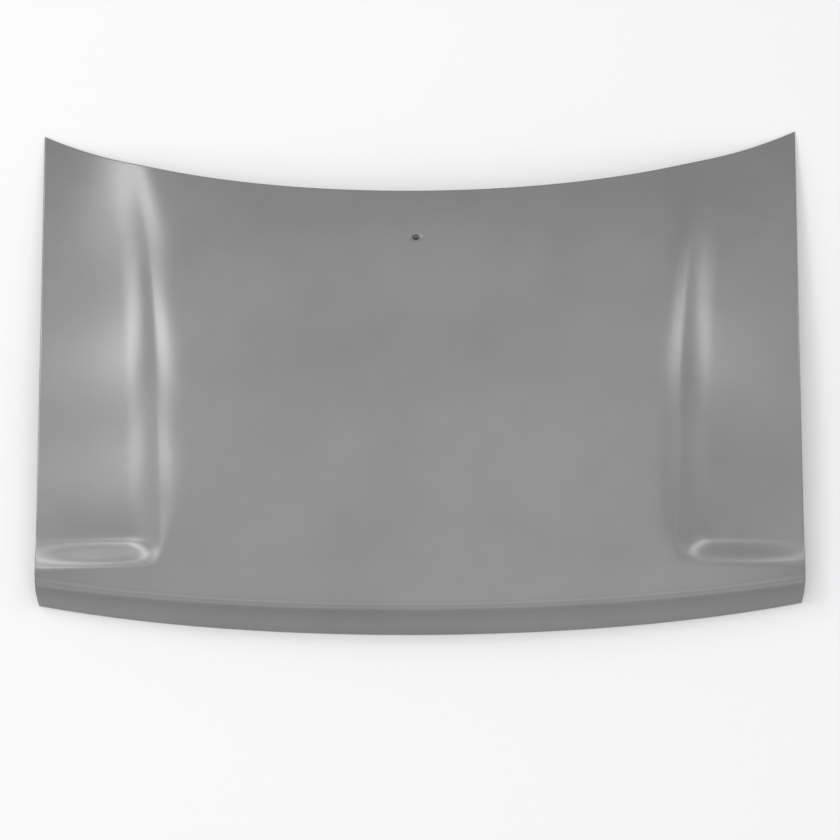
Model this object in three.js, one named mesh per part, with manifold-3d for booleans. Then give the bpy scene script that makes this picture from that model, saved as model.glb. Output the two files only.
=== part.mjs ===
// Car bonnet: a hemmed outer skin over a pressed inner frame, with the hinge pads, the latch pad and
// the striker that such a frame carries. Millimetres. X runs across the car, the nose points to -Y,
// +Z is up, and the bonnet lies outer side up on its nose hem and its two hinge pads.
import * as THREE from 'three';
import Module from 'manifold-3d';
import { mergeVertices } from 'three/addons/utils/BufferGeometryUtils.js';

const wasm = await Module();
wasm.setup();

// Outline, seen from above
const panelLength = 952;
const rearWidth = 1410;
const frontWidth = 1340;
const rearSweep = 136.5;
const frontSweep = 54;
const rearBowShare = 0.24;
const frontBowShare = 0.15;
const sideHollow = 5;

// Heights of the raised centre panel
const bendHeight = 84;
const rearHeight = 58;
const lengthArch = 20;
const frontCrown = 28;
const rearCrown = 27.6;
const crownBowShare = 0.3;

// Nose
const bendToNose = 104;
const apronSlope = THREE.MathUtils.degToRad(9);
const faceLean = THREE.MathUtils.degToRad(18);
const noseReach = 45;
const faceHandle = 0.5;
const rollHandle = 28;

// Lowered side strips
const stripDepth = 7.5;
const stripRearDepth = 3;
const stripDish = 2;
const stripFadeStart = 120;
const wallWidth = 48;
const rampWidth = 40;
const stripCornerRadius = 38;
const creaseRound = 10;
const stripWidth = 225;
const stripTaper = 13;
const creaseFlare = 38;
const creaseStart = -250;
const creaseSpan = 650;
const shoulderWidth = 80;
const shoulderDrop = 2.8;
const shoulderFadeRamps = 2;

// Sheets and hem
const skinThickness = 0.8;
const frameThickness = 0.7;
const hemClearance = 0.3;
const hemLip = 9;
const flangeWidth = 13;
const seatGap = 0.3;
const hemStandOff = 0.05;

// Box rails round the edge of the inner frame
const railWallFoot = 24;
const railFloorEnd = 60;
const railWidth = 72;
const railDepth = 20;
const frontRailDepth = 22;
const shoulderDepth = 4.5;
const shoulderBand = 24;
const floorClearance = 2.7;
const noseShelfStart = 22;
const noseShelfHeight = 18;
const noseShelfEnd = 58;

// Ribs across the inner frame
const ribDepth = 18;
const ribFloorWidth = 26;
const ribDraft = 0.6;
const diagonalFrontInset = 33;
const diagonalPadLap = 15;
const crossRibShare = 0.437;
const apertureRadius = 30;
const frontApertureSetback = 27;
const sideApertureSetback = 54;
const padShoulder = 40;

// Hinge pads, their plates and nuts
const hingeInset = 115;
const hingeSetback = 126;
const hingePadWidth = 52;
const hingePadLength = 84;
const hingePadDraft = 0.3;
const hingePlateThickness = 2;
const hingePlateMargin = 4;
const hingeBoltSpacing = 44;

// Latch pad, its plates and the striker
const latchSetback = 66;
const latchPadBottom = 47;
const latchPadWidth = 124;
const latchPadLength = 44;
const latchPadDraft = 0.45;
const latchPlateThickness = 2;
const latchPlateMargin = 4;
const strikerPlateThickness = 2.5;
const strikerPlateWidth = 108;
const strikerPlateLength = 34;
const strikerBoltSpacing = 78;
const strikerRod = 8;
const strikerLegSpacing = 36;
const strikerDrop = 29;
const strikerCornerRadius = 10;

// M8 fasteners
const boltDiameter = 8;
const boltHole = 9.4;
const nutBore = 8.6;
const nutAcrossFlats = 13;
const nutHeight = 6.5;
const headHeight = 5.5;

// Small features
const jetHoleDiameter = 12;
const jetHoleX = -5;
const jetHoleSetback = 96;
const stayHoleDiameter = 14;
const stayHoleShare = 0.305;
const drainHoleDiameter = 16;
const sideDrainShares = [0.16, 0.54, 0.69];
const rearDrainShares = [0.185, 0.51];
const masticRadius = 9;
const masticSkinGap = 0.6;
const masticRibShares = [0.24, 0.54, 0.66];
const masticHalfSpacing = 150;

const hemThickness = 2 * skinThickness + 2 * hemClearance + frameThickness;
const hemRadius = hemThickness / 2;
const yFront = -panelLength / 2;
const yRearCorner = panelLength / 2 - hemRadius;
const yRear = yRearCorner - rearSweep;
const yFrontCorner = yFront + frontSweep;
const yBend = yFront + bendToNose;
const halfRear = rearWidth / 2 - hemRadius;
const halfFront = frontWidth / 2 - hemRadius;

const hingeX = rearWidth / 2 - hingeInset;
const hingeY = panelLength / 2 - hingeSetback;
const latchY = yFront + latchSetback;
const crossRibY = yFront + crossRibShare * panelLength;
const diagonalFront = new THREE.Vector2(latchPadWidth / 2 + diagonalFrontInset, latchY + diagonalPadLap);
const diagonalRear = new THREE.Vector2(hingeX - diagonalPadLap, hingeY - diagonalPadLap);
const diagonalRun = new THREE.Vector2().subVectors(diagonalRear, diagonalFront);
const sideApertureRear = hingeY - hingePadLength / 2 - padShoulder;

// Cutters pass through the whole part, and small round features share one number of sides
const cutterBottom = -bendHeight;
const cutterTop = 2 * bendHeight;
const roundSides = 16;

const { lerp, clamp, smoothstep } = THREE.MathUtils;

// Surface of the pressing

function bow(t, share) {
  return (1 - share) * t ** 2 + share * t ** 4;
}

function lengthShare(y) {
  return (y - yFrontCorner) / (yRearCorner - yFrontCorner);
}

function placeAlong(share) {
  return lerp(yFrontCorner, yRearCorner, share);
}

function halfWidth(y) {
  const s = lengthShare(y);
  return lerp(halfFront, halfRear, s) - 4 * sideHollow * s * (1 - s);
}

function frontEdgeY(x) {
  return yFront + frontSweep * bow(x / halfFront, frontBowShare);
}

function rearEdgeY(x) {
  return yRear + rearSweep * bow(x / halfRear, rearBowShare);
}

// Distance from the centre line to the upper edge of the side strip
function creaseX(y) {
  const s = (y - creaseStart) / creaseSpan;
  return halfWidth(y) - stripWidth + stripTaper * s + creaseFlare * Math.max(s, 0) ** 4;
}

function centreHeight(y) {
  if (y < yBend) return bendHeight - (yBend - y) * Math.tan(apronSlope);
  const s = (y - yBend) / (yRear - yBend);
  return lerp(bendHeight, rearHeight, s) + 4 * lengthArch * s * (1 - s);
}

function bodyHeight(x, y) {
  const crown = lerp(frontCrown, rearCrown, clamp(lengthShare(y), 0, 1));
  return centreHeight(y) - crown * bow(x / halfWidth(y), crownBowShare);
}

// Share of the strip's drop at a share of its wall: a small round at the top and a long foot
function wallProfile(t) {
  const top = creaseRound / wallWidth;
  return t < top ? t ** 2 / top : 1 - (1 - t) ** 2 / (1 - top);
}

// How far the side strip lies below the raised centre
function stripStep(x, y) {
  const across = (Math.abs(x) - creaseX(y)) / wallWidth;
  const along = (y - yBend) / rampWidth;
  if (along <= 0) return 0;
  const depth = lerp(stripDepth, stripRearDepth, smoothstep(y, stripFadeStart, yRearCorner));
  const shoulder = clamp(1 + across * wallWidth / shoulderWidth, 0, 1) ** 2 * shoulderDrop;
  const fade = smoothstep(along, 0, shoulderFadeRamps);
  if (across <= 0) return shoulder * fade;
  const radius = stripCornerRadius / wallWidth;
  let inside = Math.min(across, along);
  if (across < radius && along < radius) inside = radius - Math.hypot(radius - across, radius - along);
  const wall = wallProfile(clamp(inside, 0, 1));
  const spread = across * wallWidth / (halfWidth(y) - creaseX(y));
  const dish = 4 * stripDish * spread * (1 - spread) * wallProfile(clamp(along, 0, 1));
  return depth * wall + dish + shoulderDrop * fade * (1 - wall);
}

function skinHeight(x, y) {
  return bodyHeight(x, y) - stripStep(x, y);
}

// Profile of the nose at one distance from the centre line: up the face, then over the roll
function nosePoint(x, t) {
  const y0 = frontEdgeY(x);
  const top = bodyHeight(x, y0 + noseReach);
  const face = faceHandle * top;
  const foot = hemRadius * (1 + Math.sin(faceLean)) + hemStandOff;
  const rollStart = noseReach - rollHandle * Math.cos(apronSlope);
  const curve = new THREE.CubicBezierCurve(
    new THREE.Vector2(0, foot),
    new THREE.Vector2(face * Math.sin(faceLean), foot + face * Math.cos(faceLean)),
    new THREE.Vector2(rollStart, top - rollHandle * Math.sin(apronSlope)),
    new THREE.Vector2(noseReach, top),
  );
  const point = curve.getPoint(t);
  return new THREE.Vector3(x, y0 + point.x, point.y);
}

// Grid lines of the pressing

const noseRows = 5;
const apronRows = 2;
const rampRows = 3;
const fieldRows = 9;
const wallColumns = 3;
const plateauColumns = 4;

// Distances from the centre line to the grid lines of one half, at one place along the car
function columnStations(y) {
  const crease = creaseX(y);
  const foot = crease + wallWidth;
  const rail = halfWidth(y) - railWidth;
  const stations = [];
  for (let i = 0; i < plateauColumns; i++) stations.push((crease - shoulderWidth) * i / plateauColumns);
  stations.push(crease - shoulderWidth, crease - shoulderWidth / 2);
  for (let i = 0; i <= wallColumns; i++) stations.push(crease + wallWidth * i / wallColumns);
  stations.push((foot + rail) / 2, rail, halfWidth(y));
  return stations;
}

// One function per grid row, each giving the row's point at a distance from the centre line
function rowFunctions() {
  const rows = [];
  for (let i = 0; i < noseRows; i++) rows.push((x) => nosePoint(x, i / noseRows));
  const onSkin = (x, y) => new THREE.Vector3(x, y, skinHeight(x, y));
  for (let i = 0; i < apronRows; i++) {
    rows.push((x) => onSkin(x, lerp(frontEdgeY(x) + noseReach, yBend, i / apronRows)));
  }
  for (let i = 0; i < rampRows; i++) rows.push((x) => onSkin(x, yBend + rampWidth * i / rampRows));
  const fieldStart = yBend + rampWidth;
  for (let i = 0; i <= fieldRows; i++) {
    rows.push((x) => onSkin(x, lerp(fieldStart, rearEdgeY(x) - railWidth, i / fieldRows)));
  }
  rows.push((x) => onSkin(x, rearEdgeY(x)));
  return rows;
}

function skinGrid() {
  const half = columnStations(0).length;
  return rowFunctions().map((row) => {
    const points = [];
    for (let c = 1 - half; c < half; c++) {
      let point = row(0);
      for (let pass = 0; pass < 8; pass++) {
        point = row(Math.sign(c) * columnStations(point.y)[Math.abs(c)]);
      }
      points.push(point);
    }
    return points;
  });
}

// Sheets made of a grid, a border and a second grid

function gridNormals(grid) {
  const lastRow = grid.length - 1;
  return grid.map((row, r) => row.map((_, c) => {
    const lastColumn = row.length - 1;
    const along = grid[Math.min(r + 1, lastRow)][c].clone().sub(grid[Math.max(r - 1, 0)][c]);
    const across = row[Math.min(c + 1, lastColumn)].clone().sub(row[Math.max(c - 1, 0)]);
    return across.cross(along).normalize();
  }));
}

function offsetGrid(grid, normals, distance) {
  return grid.map((row, r) => row.map((p, c) => p.clone().addScaledVector(normals[r][c], distance)));
}

// Row and column of each border vertex, anticlockwise seen from above
function borderCells(grid) {
  const lastRow = grid.length - 1;
  const lastColumn = grid[0].length - 1;
  const cells = [];
  for (let c = 0; c < lastColumn; c++) cells.push([0, c]);
  for (let r = 0; r < lastRow; r++) cells.push([r, lastColumn]);
  for (let c = lastColumn; c > 0; c--) cells.push([lastRow, c]);
  for (let r = lastRow; r > 0; r--) cells.push([r, 0]);
  return cells;
}

// Direction out of the sheet at a border vertex, along the grid lines that reach it
function outwardAt(grid, r, c) {
  const lastRow = grid.length - 1;
  const lastColumn = grid[0].length - 1;
  const out = new THREE.Vector3();
  const away = (row, column) => grid[r][c].clone().sub(grid[row][column]).normalize();
  if (r === 0) out.add(away(1, c));
  if (r === lastRow) out.add(away(lastRow - 1, c));
  if (c === 0) out.add(away(r, 1));
  if (c === lastColumn) out.add(away(r, lastColumn - 1));
  return out;
}

// Border rings at the given [outward, upward] offsets from the edge of a grid
function borderRings(grid, normals, offsets) {
  const cells = borderCells(grid);
  return offsets.map(([out, up]) => cells.map(([r, c]) => grid[r][c].clone()
    .addScaledVector(outwardAt(grid, r, c), out)
    .addScaledVector(normals[r][c], up)));
}

// Closed sheet: upper grid, border rings from top to bottom, lower grid
function closedSheet(upper, rings, lower) {
  const rows = upper.length;
  const columns = upper[0].length;
  const cells = borderCells(upper);
  const points = [...upper.flat(), ...rings.flat(), ...lower.flat()];
  const lowerStart = rows * columns + rings.length * cells.length;
  const index = [];
  const quad = (a, b, c, d) => index.push(a, b, c, a, c, d);
  for (let r = 0; r < rows - 1; r++) {
    for (let c = 0; c < columns - 1; c++) {
      const a = r * columns + c;
      const corners = [a, a + 1, a + columns + 1, a + columns];
      const shifted = c < (columns - 1) / 2 ? [3, 0, 1, 2] : [0, 1, 2, 3];
      const [p, q, s, t] = shifted.map((k) => corners[k]);
      quad(p, q, s, t);
      quad(lowerStart + p, lowerStart + t, lowerStart + s, lowerStart + q);
    }
  }
  const borderOf = (start) => cells.map(([r, c]) => start + r * columns + c);
  const loops = [borderOf(0)];
  rings.forEach((_, k) => loops.push(cells.map((__, i) => rows * columns + k * cells.length + i)));
  loops.push(borderOf(lowerStart));
  for (let k = 0; k < loops.length - 1; k++) {
    for (let i = 0; i < cells.length; i++) {
      const j = (i + 1) % cells.length;
      quad(loops[k][i], loops[k + 1][i], loops[k + 1][j], loops[k][j]);
    }
  }
  return indexedGeometry(points, index);
}

function indexedGeometry(points, index) {
  const geometry = new THREE.BufferGeometry();
  const places = points.flatMap((p) => p.toArray());
  geometry.setAttribute('position', new THREE.Float32BufferAttribute(places, 3));
  geometry.setIndex(index);
  return geometry;
}

// Joins and cuts

function toSolid(geometry) {
  const bare = geometry.clone();
  bare.deleteAttribute('normal');
  bare.deleteAttribute('uv');
  const merged = mergeVertices(bare, 1e-4);
  return new wasm.Manifold(new wasm.Mesh({
    numProp: 3,
    vertProperties: new Float32Array(merged.attributes.position.array),
    triVerts: new Uint32Array(merged.index.array),
  }));
}

function toGeometry(solid) {
  const mesh = solid.getMesh();
  const geometry = new THREE.BufferGeometry();
  geometry.setAttribute('position', new THREE.BufferAttribute(mesh.vertProperties, 3));
  geometry.setIndex(new THREE.BufferAttribute(mesh.triVerts, 1));
  return geometry;
}

function cutAll(solid, cutters) {
  return cutters.reduce((left, cutter) => left.subtract(cutter), solid);
}

// Upright cylinder between two heights
function upright(diameter, x, y, low = cutterBottom, high = cutterTop, sides = roundSides) {
  const geometry = new THREE.CylinderGeometry(diameter / 2, diameter / 2, high - low, sides);
  geometry.rotateX(Math.PI / 2);
  geometry.translate(x, y, (low + high) / 2);
  return geometry;
}

// Closed body through a list of rings of points, each ring anticlockwise seen from the far end
function loft(rings) {
  const count = rings[0].length;
  const index = [];
  for (let k = 0; k < rings.length - 1; k++) {
    for (let i = 0; i < count; i++) {
      const j = (i + 1) % count;
      const a = k * count;
      const b = a + count;
      index.push(a + i, a + j, b + j, a + i, b + j, b + i);
    }
  }
  const last = (rings.length - 1) * count;
  for (let i = 1; i < count - 1; i++) {
    index.push(0, i + 1, i);
    index.push(last, last + i, last + i + 1);
  }
  return indexedGeometry(rings.flat(), index);
}

// Outer skin

function outerSkin() {
  const grid = skinGrid();
  const normals = gridNormals(grid);
  const inner = offsetGrid(grid, normals, -skinThickness);
  const insideRadius = hemRadius - skinThickness;
  const diagonal = Math.SQRT1_2 * hemRadius;
  const hem = [
    [diagonal, diagonal - hemRadius],
    [hemRadius, -hemRadius],
    [diagonal, -diagonal - hemRadius],
    [0, -hemThickness],
    [-hemLip, -hemThickness],
    [-hemLip, skinThickness - hemThickness],
    [0, skinThickness - hemThickness],
    [insideRadius, -hemRadius],
  ];
  const skin = toSolid(closedSheet(grid, borderRings(grid, normals, hem), inner));
  const holeY = rearEdgeY(jetHoleX) - jetHoleSetback;
  const hole = toSolid(upright(jetHoleDiameter, jetHoleX, holeY));
  return toGeometry(skin.subtract(hole));
}

// Inner frame

function towards(from, to, distance) {
  return from.clone().addScaledVector(to.clone().sub(from).normalize(), distance);
}

// The skin's grid with extra lines beside its border, where the rails of the frame bend
function railGrid(grid) {
  const insets = [seatGap, flangeWidth, railWallFoot, railFloorEnd];
  const widen = (line) => {
    const end = line.length - 1;
    const first = insets.map((d) => towards(line[0], line[1], d));
    const last = insets.map((d) => towards(line[end], line[end - 1], d)).reverse();
    return [...first, ...line.slice(1, end), ...last];
  };
  const wide = grid.map(widen);
  const end = wide.length - 1;
  const front = insets.slice(0, 2).map((d) => wide[0].map((p, c) => towards(p, wide[1][c], d)));
  const rear = insets.map((d) => wide[end].map((p, c) => towards(p, wide[end - 1][c], d))).reverse();
  return [...front, ...wide.slice(1, end), ...rear];
}

// Upper face of the frame: flange in the hem, box rails round the edge, shoulders inside them
function frameGrid() {
  const grid = railGrid(skinGrid());
  const normals = gridNormals(grid);
  const lastRow = grid.length - 1;
  const lastColumn = grid[0].length - 1;
  const fromEdge = (i, last) => Math.min(i, last - i);
  const flangeDepth = skinThickness + hemClearance;
  const firstNoseRow = 2;
  const bendRow = noseRows + apronRows + 1;
  return grid.map((row, r) => row.map((point, c) => {
    const side = fromEdge(c, lastColumn);
    const onFlange = side < 2 || r < 2 || r > lastRow - 2;
    if (onFlange) return point.clone().addScaledVector(normals[r][c], -flangeDepth);
    if (r < bendRow - 1) {
      const share = (r - firstNoseRow) / (bendRow - 2 - firstNoseRow);
      const y = frontEdgeY(point.x) + lerp(noseShelfStart, noseShelfEnd, share);
      const floor = bodyHeight(point.x, y) - frontRailDepth;
      return new THREE.Vector3(point.x, y, lerp(noseShelfHeight, floor, Math.min(2 * share, 1)));
    }
    if (r === bendRow - 1) return point.clone().setZ(point.z - frontRailDepth);
    const inRail = side < 4 || r > lastRow - 4;
    const depth = inRail ? railDepth : shoulderDepth;
    return point.clone().setZ(Math.max(point.z - depth, floorClearance));
  }));
}

// Rib channel between two points in plan, grown by the sheet's thickness for its outside
function ribChannel(from, to, growth) {
  const steps = 14;
  const along = new THREE.Vector2().subVectors(to, from).normalize();
  const side = new THREE.Vector2(along.y, -along.x);
  const slant = Math.hypot(1, ribDraft);
  const floorHalf = ribFloorWidth / 2 + growth * (slant - ribDraft);
  const rise = ribDepth + growth;
  const topHalf = floorHalf + ribDraft * rise;
  const rings = [];
  for (let i = 0; i <= steps; i++) {
    const middle = new THREE.Vector2().lerpVectors(from, to, i / steps);
    const top = skinHeight(middle.x, middle.y);
    const floor = top - rise;
    const at = (offset, z) => new THREE.Vector3(middle.x + side.x * offset, middle.y + side.y * offset, z);
    rings.push([at(topHalf, top), at(floorHalf, floor), at(-floorHalf, floor), at(-topHalf, top)]);
  }
  return toSolid(loft(rings));
}

// Level pad pressed down to a height, with drafted sides
function pressedPad(x, y, width, length, bottom, top, draft) {
  const ring = (z) => {
    const grow = (z - bottom) * draft;
    const hx = width / 2 + grow;
    const hy = length / 2 + grow;
    const corners = [[-hx, -hy], [hx, -hy], [hx, hy], [-hx, hy]];
    return corners.map(([dx, dy]) => new THREE.Vector3(x + dx, y + dy, z));
  };
  return toSolid(loft([ring(bottom), ring(top)]));
}

const mirrored = (point) => new THREE.Vector2(-point.x, point.y);

function ribPaths() {
  const reach = halfWidth(crossRibY) - (railWallFoot + railFloorEnd) / 2;
  return [
    [diagonalFront, diagonalRear],
    [mirrored(diagonalFront), mirrored(diagonalRear)],
    [new THREE.Vector2(-reach, crossRibY), new THREE.Vector2(reach, crossRibY)],
  ];
}

function padList(growth) {
  const hinge = (x) => pressedPad(x, hingeY, hingePadWidth + 2 * growth, hingePadLength + 2 * growth,
    frameThickness - growth, cutterTop, hingePadDraft);
  const latch = pressedPad(0, latchY, latchPadWidth + 2 * growth, latchPadLength + 2 * growth,
    latchPadBottom + frameThickness - growth, cutterTop, latchPadDraft);
  return [hinge(-hingeX), hinge(hingeX), latch];
}

// Closed outline in plan with rounded corners
function roundedOutline(corners, radius) {
  const shape = new THREE.Shape();
  corners.forEach((corner, i) => {
    const before = corners[(i + corners.length - 1) % corners.length];
    const after = corners[(i + 1) % corners.length];
    const start = corner.clone().lerp(before, Math.min(radius / corner.distanceTo(before), 0.5));
    const end = corner.clone().lerp(after, Math.min(radius / corner.distanceTo(after), 0.5));
    if (i === 0) shape.moveTo(start.x, start.y);
    else shape.lineTo(start.x, start.y);
    shape.quadraticCurveTo(corner.x, corner.y, end.x, end.y);
  });
  shape.closePath();
  return shape;
}

// Half the width of a rib with the shoulder beside it
const ribShoulder = ribFloorWidth / 2 + ribDraft * (ribDepth - shoulderDepth) + shoulderBand;
const edgeShoulder = railWidth + shoulderBand;

// Distance from the centre line to a diagonal rib's shoulder edge: -1 its inner side, 1 its outer
function diagonalEdgeX(y, sign) {
  const middle = diagonalFront.x + (y - diagonalFront.y) * diagonalRun.x / diagonalRun.y;
  return middle + sign * ribShoulder * diagonalRun.length() / diagonalRun.y;
}

function apertureOutlines() {
  const crossFront = crossRibY - ribShoulder;
  const crossRear = crossRibY + ribShoulder;
  const front = yBend + frontApertureSetback;
  const sideFront = yBend + sideApertureSetback;
  const sideX = (y) => halfWidth(y) - edgeShoulder;
  const point = (x, y) => new THREE.Vector2(x, y);
  const rearCorner = diagonalRear.y - ribShoulder;
  const rearHalf = diagonalEdgeX(rearCorner, -1);
  const rearPoints = 6;
  const rearLine = Array.from({ length: rearPoints }, (_, i) => {
    const x = rearHalf * (1 - 2 * i / (rearPoints - 1));
    return point(x, Math.min(rearEdgeY(x) - edgeShoulder, rearCorner));
  });
  const centreRear = [
    point(-diagonalEdgeX(crossRear, -1), crossRear),
    point(diagonalEdgeX(crossRear, -1), crossRear),
    ...rearLine,
  ];
  const centreFront = [
    point(-diagonalEdgeX(front, -1), front),
    point(diagonalEdgeX(front, -1), front),
    point(diagonalEdgeX(crossFront, -1), crossFront),
    point(-diagonalEdgeX(crossFront, -1), crossFront),
  ];
  const sideFrontCell = [
    point(diagonalEdgeX(sideFront, 1), sideFront),
    point(sideX(sideFront), sideFront),
    point(sideX(crossFront), crossFront),
    point(diagonalEdgeX(crossFront, 1), crossFront),
  ];
  const sideRearCell = [
    point(diagonalEdgeX(crossRear, 1), crossRear),
    point(sideX(crossRear), crossRear),
    point(sideX(sideApertureRear), sideApertureRear),
    point(Math.min(diagonalEdgeX(sideApertureRear, 1), sideX(sideApertureRear) - 1), sideApertureRear),
  ];
  const bothSides = [sideFrontCell, sideRearCell].flatMap((cell) => [cell, cell.map(mirrored).reverse()]);
  return [centreRear, centreFront, ...bothSides].map((cell) => roundedOutline(cell, apertureRadius));
}

function apertureCutters() {
  return apertureOutlines().map((shape) => {
    const depth = cutterTop - cutterBottom;
    const prism = new THREE.ExtrudeGeometry(shape, { depth, bevelEnabled: false, curveSegments: 5 });
    prism.translate(0, 0, cutterBottom);
    return toSolid(prism);
  });
}

const hingeBoltPlaces = [-hingeX, hingeX].flatMap((x) => [
  [x, hingeY - hingeBoltSpacing / 2],
  [x, hingeY + hingeBoltSpacing / 2],
]);
const strikerBoltPlaces = [-0.5, 0.5].map((share) => [share * strikerBoltSpacing, latchY]);

// Bolt holes, the hole for the prop stay, and the drain holes of the rails
function frameHoles() {
  const holes = [...hingeBoltPlaces, ...strikerBoltPlaces].map(([x, y]) => upright(boltHole, x, y));
  const railMiddle = (railWallFoot + railFloorEnd) / 2;
  const stayY = placeAlong(stayHoleShare);
  holes.push(upright(stayHoleDiameter, halfWidth(stayY) - railMiddle, stayY));
  for (const side of [-1, 1]) {
    sideDrainShares.map(placeAlong).forEach((y) => {
      holes.push(upright(drainHoleDiameter, side * (halfWidth(y) - railMiddle), y));
    });
    rearDrainShares.map((share) => share * halfRear).forEach((x) => {
      holes.push(upright(drainHoleDiameter, side * x, rearEdgeY(x) - railMiddle));
    });
  }
  return holes.map(toSolid);
}

function innerFrame() {
  const upper = frameGrid();
  const normals = gridNormals(upper);
  const edgeNormals = gridNormals(railGrid(skinGrid()));
  borderCells(upper).forEach(([r, c]) => normals[r][c].copy(edgeNormals[r][c]));
  const lower = offsetGrid(upper, normals, -frameThickness);
  const sheet = toSolid(closedSheet(upper, [], lower));
  const middle = offsetGrid(upper, normals, -frameThickness / 2);
  const ground = middle.map((row) => row.map((p) => new THREE.Vector3(p.x, p.y, cutterBottom)));
  const below = toSolid(closedSheet(middle, [], ground));
  const ribs = (growth) => ribPaths().map(([from, to]) => ribChannel(from, to, growth));
  const channels = (growth) => [...ribs(growth), ...padList(growth)];
  const outside = channels(frameThickness).reduce((all, solid) => all.add(solid));
  const pressed = sheet.add(outside.intersect(below));
  return toGeometry(cutAll(pressed, [...channels(0), ...apertureCutters(), ...frameHoles()]));
}

// Plates, fasteners, striker and mastic

function drilledPlate(x, y, width, length, bottom, thickness, holes) {
  const plate = new THREE.BoxGeometry(width, length, thickness);
  plate.translate(x, y, bottom + thickness / 2);
  const cutters = holes.map(([hx, hy, diameter]) => toSolid(upright(diameter, hx, hy)));
  return toGeometry(cutAll(toSolid(plate), cutters));
}

function hexPrism(x, y, bottom, height) {
  const geometry = upright(nutAcrossFlats / Math.cos(Math.PI / 6), x, y, bottom, bottom + height, 6);
  return toSolid(geometry);
}

function hexNut(x, y, bottom) {
  const bore = toSolid(upright(nutBore, x, y));
  return toGeometry(hexPrism(x, y, bottom, nutHeight).subtract(bore));
}

const hingePlateBottom = frameThickness + seatGap;
const hingeNutBottom = hingePlateBottom + hingePlateThickness + seatGap;
const latchPlateBottom = latchPadBottom + frameThickness + seatGap;
const latchNutBottom = latchPlateBottom + latchPlateThickness + seatGap;
const strikerPlateBottom = latchPadBottom - seatGap - strikerPlateThickness;
const headBottom = strikerPlateBottom - seatGap - headHeight;

function hingePlate(x) {
  const holes = hingeBoltPlaces.filter(([hx]) => hx === x).map(([hx, hy]) => [hx, hy, boltHole]);
  return drilledPlate(x, hingeY, hingePadWidth - hingePlateMargin, hingePadLength - hingePlateMargin,
    hingePlateBottom, hingePlateThickness, holes);
}

function latchPlate() {
  const holes = strikerBoltPlaces.map(([x, y]) => [x, y, boltHole]);
  return drilledPlate(0, latchY, latchPadWidth - latchPlateMargin, latchPadLength - latchPlateMargin,
    latchPlateBottom, latchPlateThickness, holes);
}

function strikerPlate() {
  const legs = [-0.5, 0.5].map((share) => [share * strikerLegSpacing, latchY, strikerRod + 2 * seatGap]);
  const bolts = strikerBoltPlaces.map(([x, y]) => [x, y, boltHole]);
  return drilledPlate(0, latchY, strikerPlateWidth, strikerPlateLength, strikerPlateBottom,
    strikerPlateThickness, [...legs, ...bolts]);
}

function strikerBolt(x, y) {
  const shankBottom = headBottom + headHeight / 2;
  const shank = toSolid(upright(boltDiameter, x, y, shankBottom, latchNutBottom + nutHeight));
  return toGeometry(hexPrism(x, y, headBottom, headHeight).add(shank));
}

// U of round rod, its legs through the plate and its bar across the car
function strikerLoop() {
  const top = strikerPlateBottom + strikerPlateThickness;
  const bar = strikerPlateBottom - strikerDrop + strikerRod / 2;
  const half = strikerLegSpacing / 2;
  const bend = strikerCornerRadius;
  const spot = (x, z) => new THREE.Vector3(x, latchY, z);
  const path = new THREE.CurvePath();
  const turn = (from, corner, to) => path.add(new THREE.QuadraticBezierCurve3(from, corner, to));
  path.add(new THREE.LineCurve3(spot(-half, top), spot(-half, bar + bend)));
  turn(spot(-half, bar + bend), spot(-half, bar), spot(bend - half, bar));
  path.add(new THREE.LineCurve3(spot(bend - half, bar), spot(half - bend, bar)));
  turn(spot(half - bend, bar), spot(half, bar), spot(half, bar + bend));
  path.add(new THREE.LineCurve3(spot(half, bar + bend), spot(half, top)));
  const section = new THREE.Shape();
  section.absarc(0, 0, strikerRod / 2, 0, 2 * Math.PI);
  const sweep = { extrudePath: path, steps: 24, curveSegments: 5, bevelEnabled: false };
  return new THREE.ExtrudeGeometry(section, sweep);
}

// Places of the mastic dabs, on the shoulders beside the ribs and rails
function masticPlaces() {
  const beside = ribShoulder - shoulderBand / 2;
  const across = new THREE.Vector2(diagonalRun.y, -diagonalRun.x).normalize();
  const places = [];
  for (const share of masticRibShares) {
    for (const side of [-1, 1]) {
      const spot = diagonalFront.clone().lerp(diagonalRear, share).addScaledVector(across, side * beside);
      places.push(spot, mirrored(spot));
    }
  }
  for (const x of [-masticHalfSpacing, masticHalfSpacing]) {
    places.push(new THREE.Vector2(x, crossRibY + beside), new THREE.Vector2(x, crossRibY - beside));
    places.push(new THREE.Vector2(x, rearEdgeY(x) - railWidth - shoulderBand / 2));
  }
  return places;
}

// One dab, bulging between the frame's shoulder and the skin
function masticDab(place) {
  const low = seatGap - shoulderDepth;
  const high = -skinThickness - masticSkinGap;
  const profile = [[0, low], [0.8, low], [1, (low + high) / 2], [0.8, high], [0, high]]
    .map(([share, z]) => new THREE.Vector2(masticRadius * share, z));
  const dab = new THREE.LatheGeometry(profile, 12);
  dab.rotateX(Math.PI / 2);
  const { x, y } = place;
  const reach = masticRadius;
  const slopeX = (skinHeight(x + reach, y) - skinHeight(x - reach, y)) / (2 * reach);
  const slopeY = (skinHeight(x, y + reach) - skinHeight(x, y - reach)) / (2 * reach);
  const normal = new THREE.Vector3(-slopeX, -slopeY, 1).normalize();
  dab.applyQuaternion(new THREE.Quaternion().setFromUnitVectors(new THREE.Vector3(0, 0, 1), normal));
  dab.translate(x, y, skinHeight(x, y));
  return dab;
}

// Finishes

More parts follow.
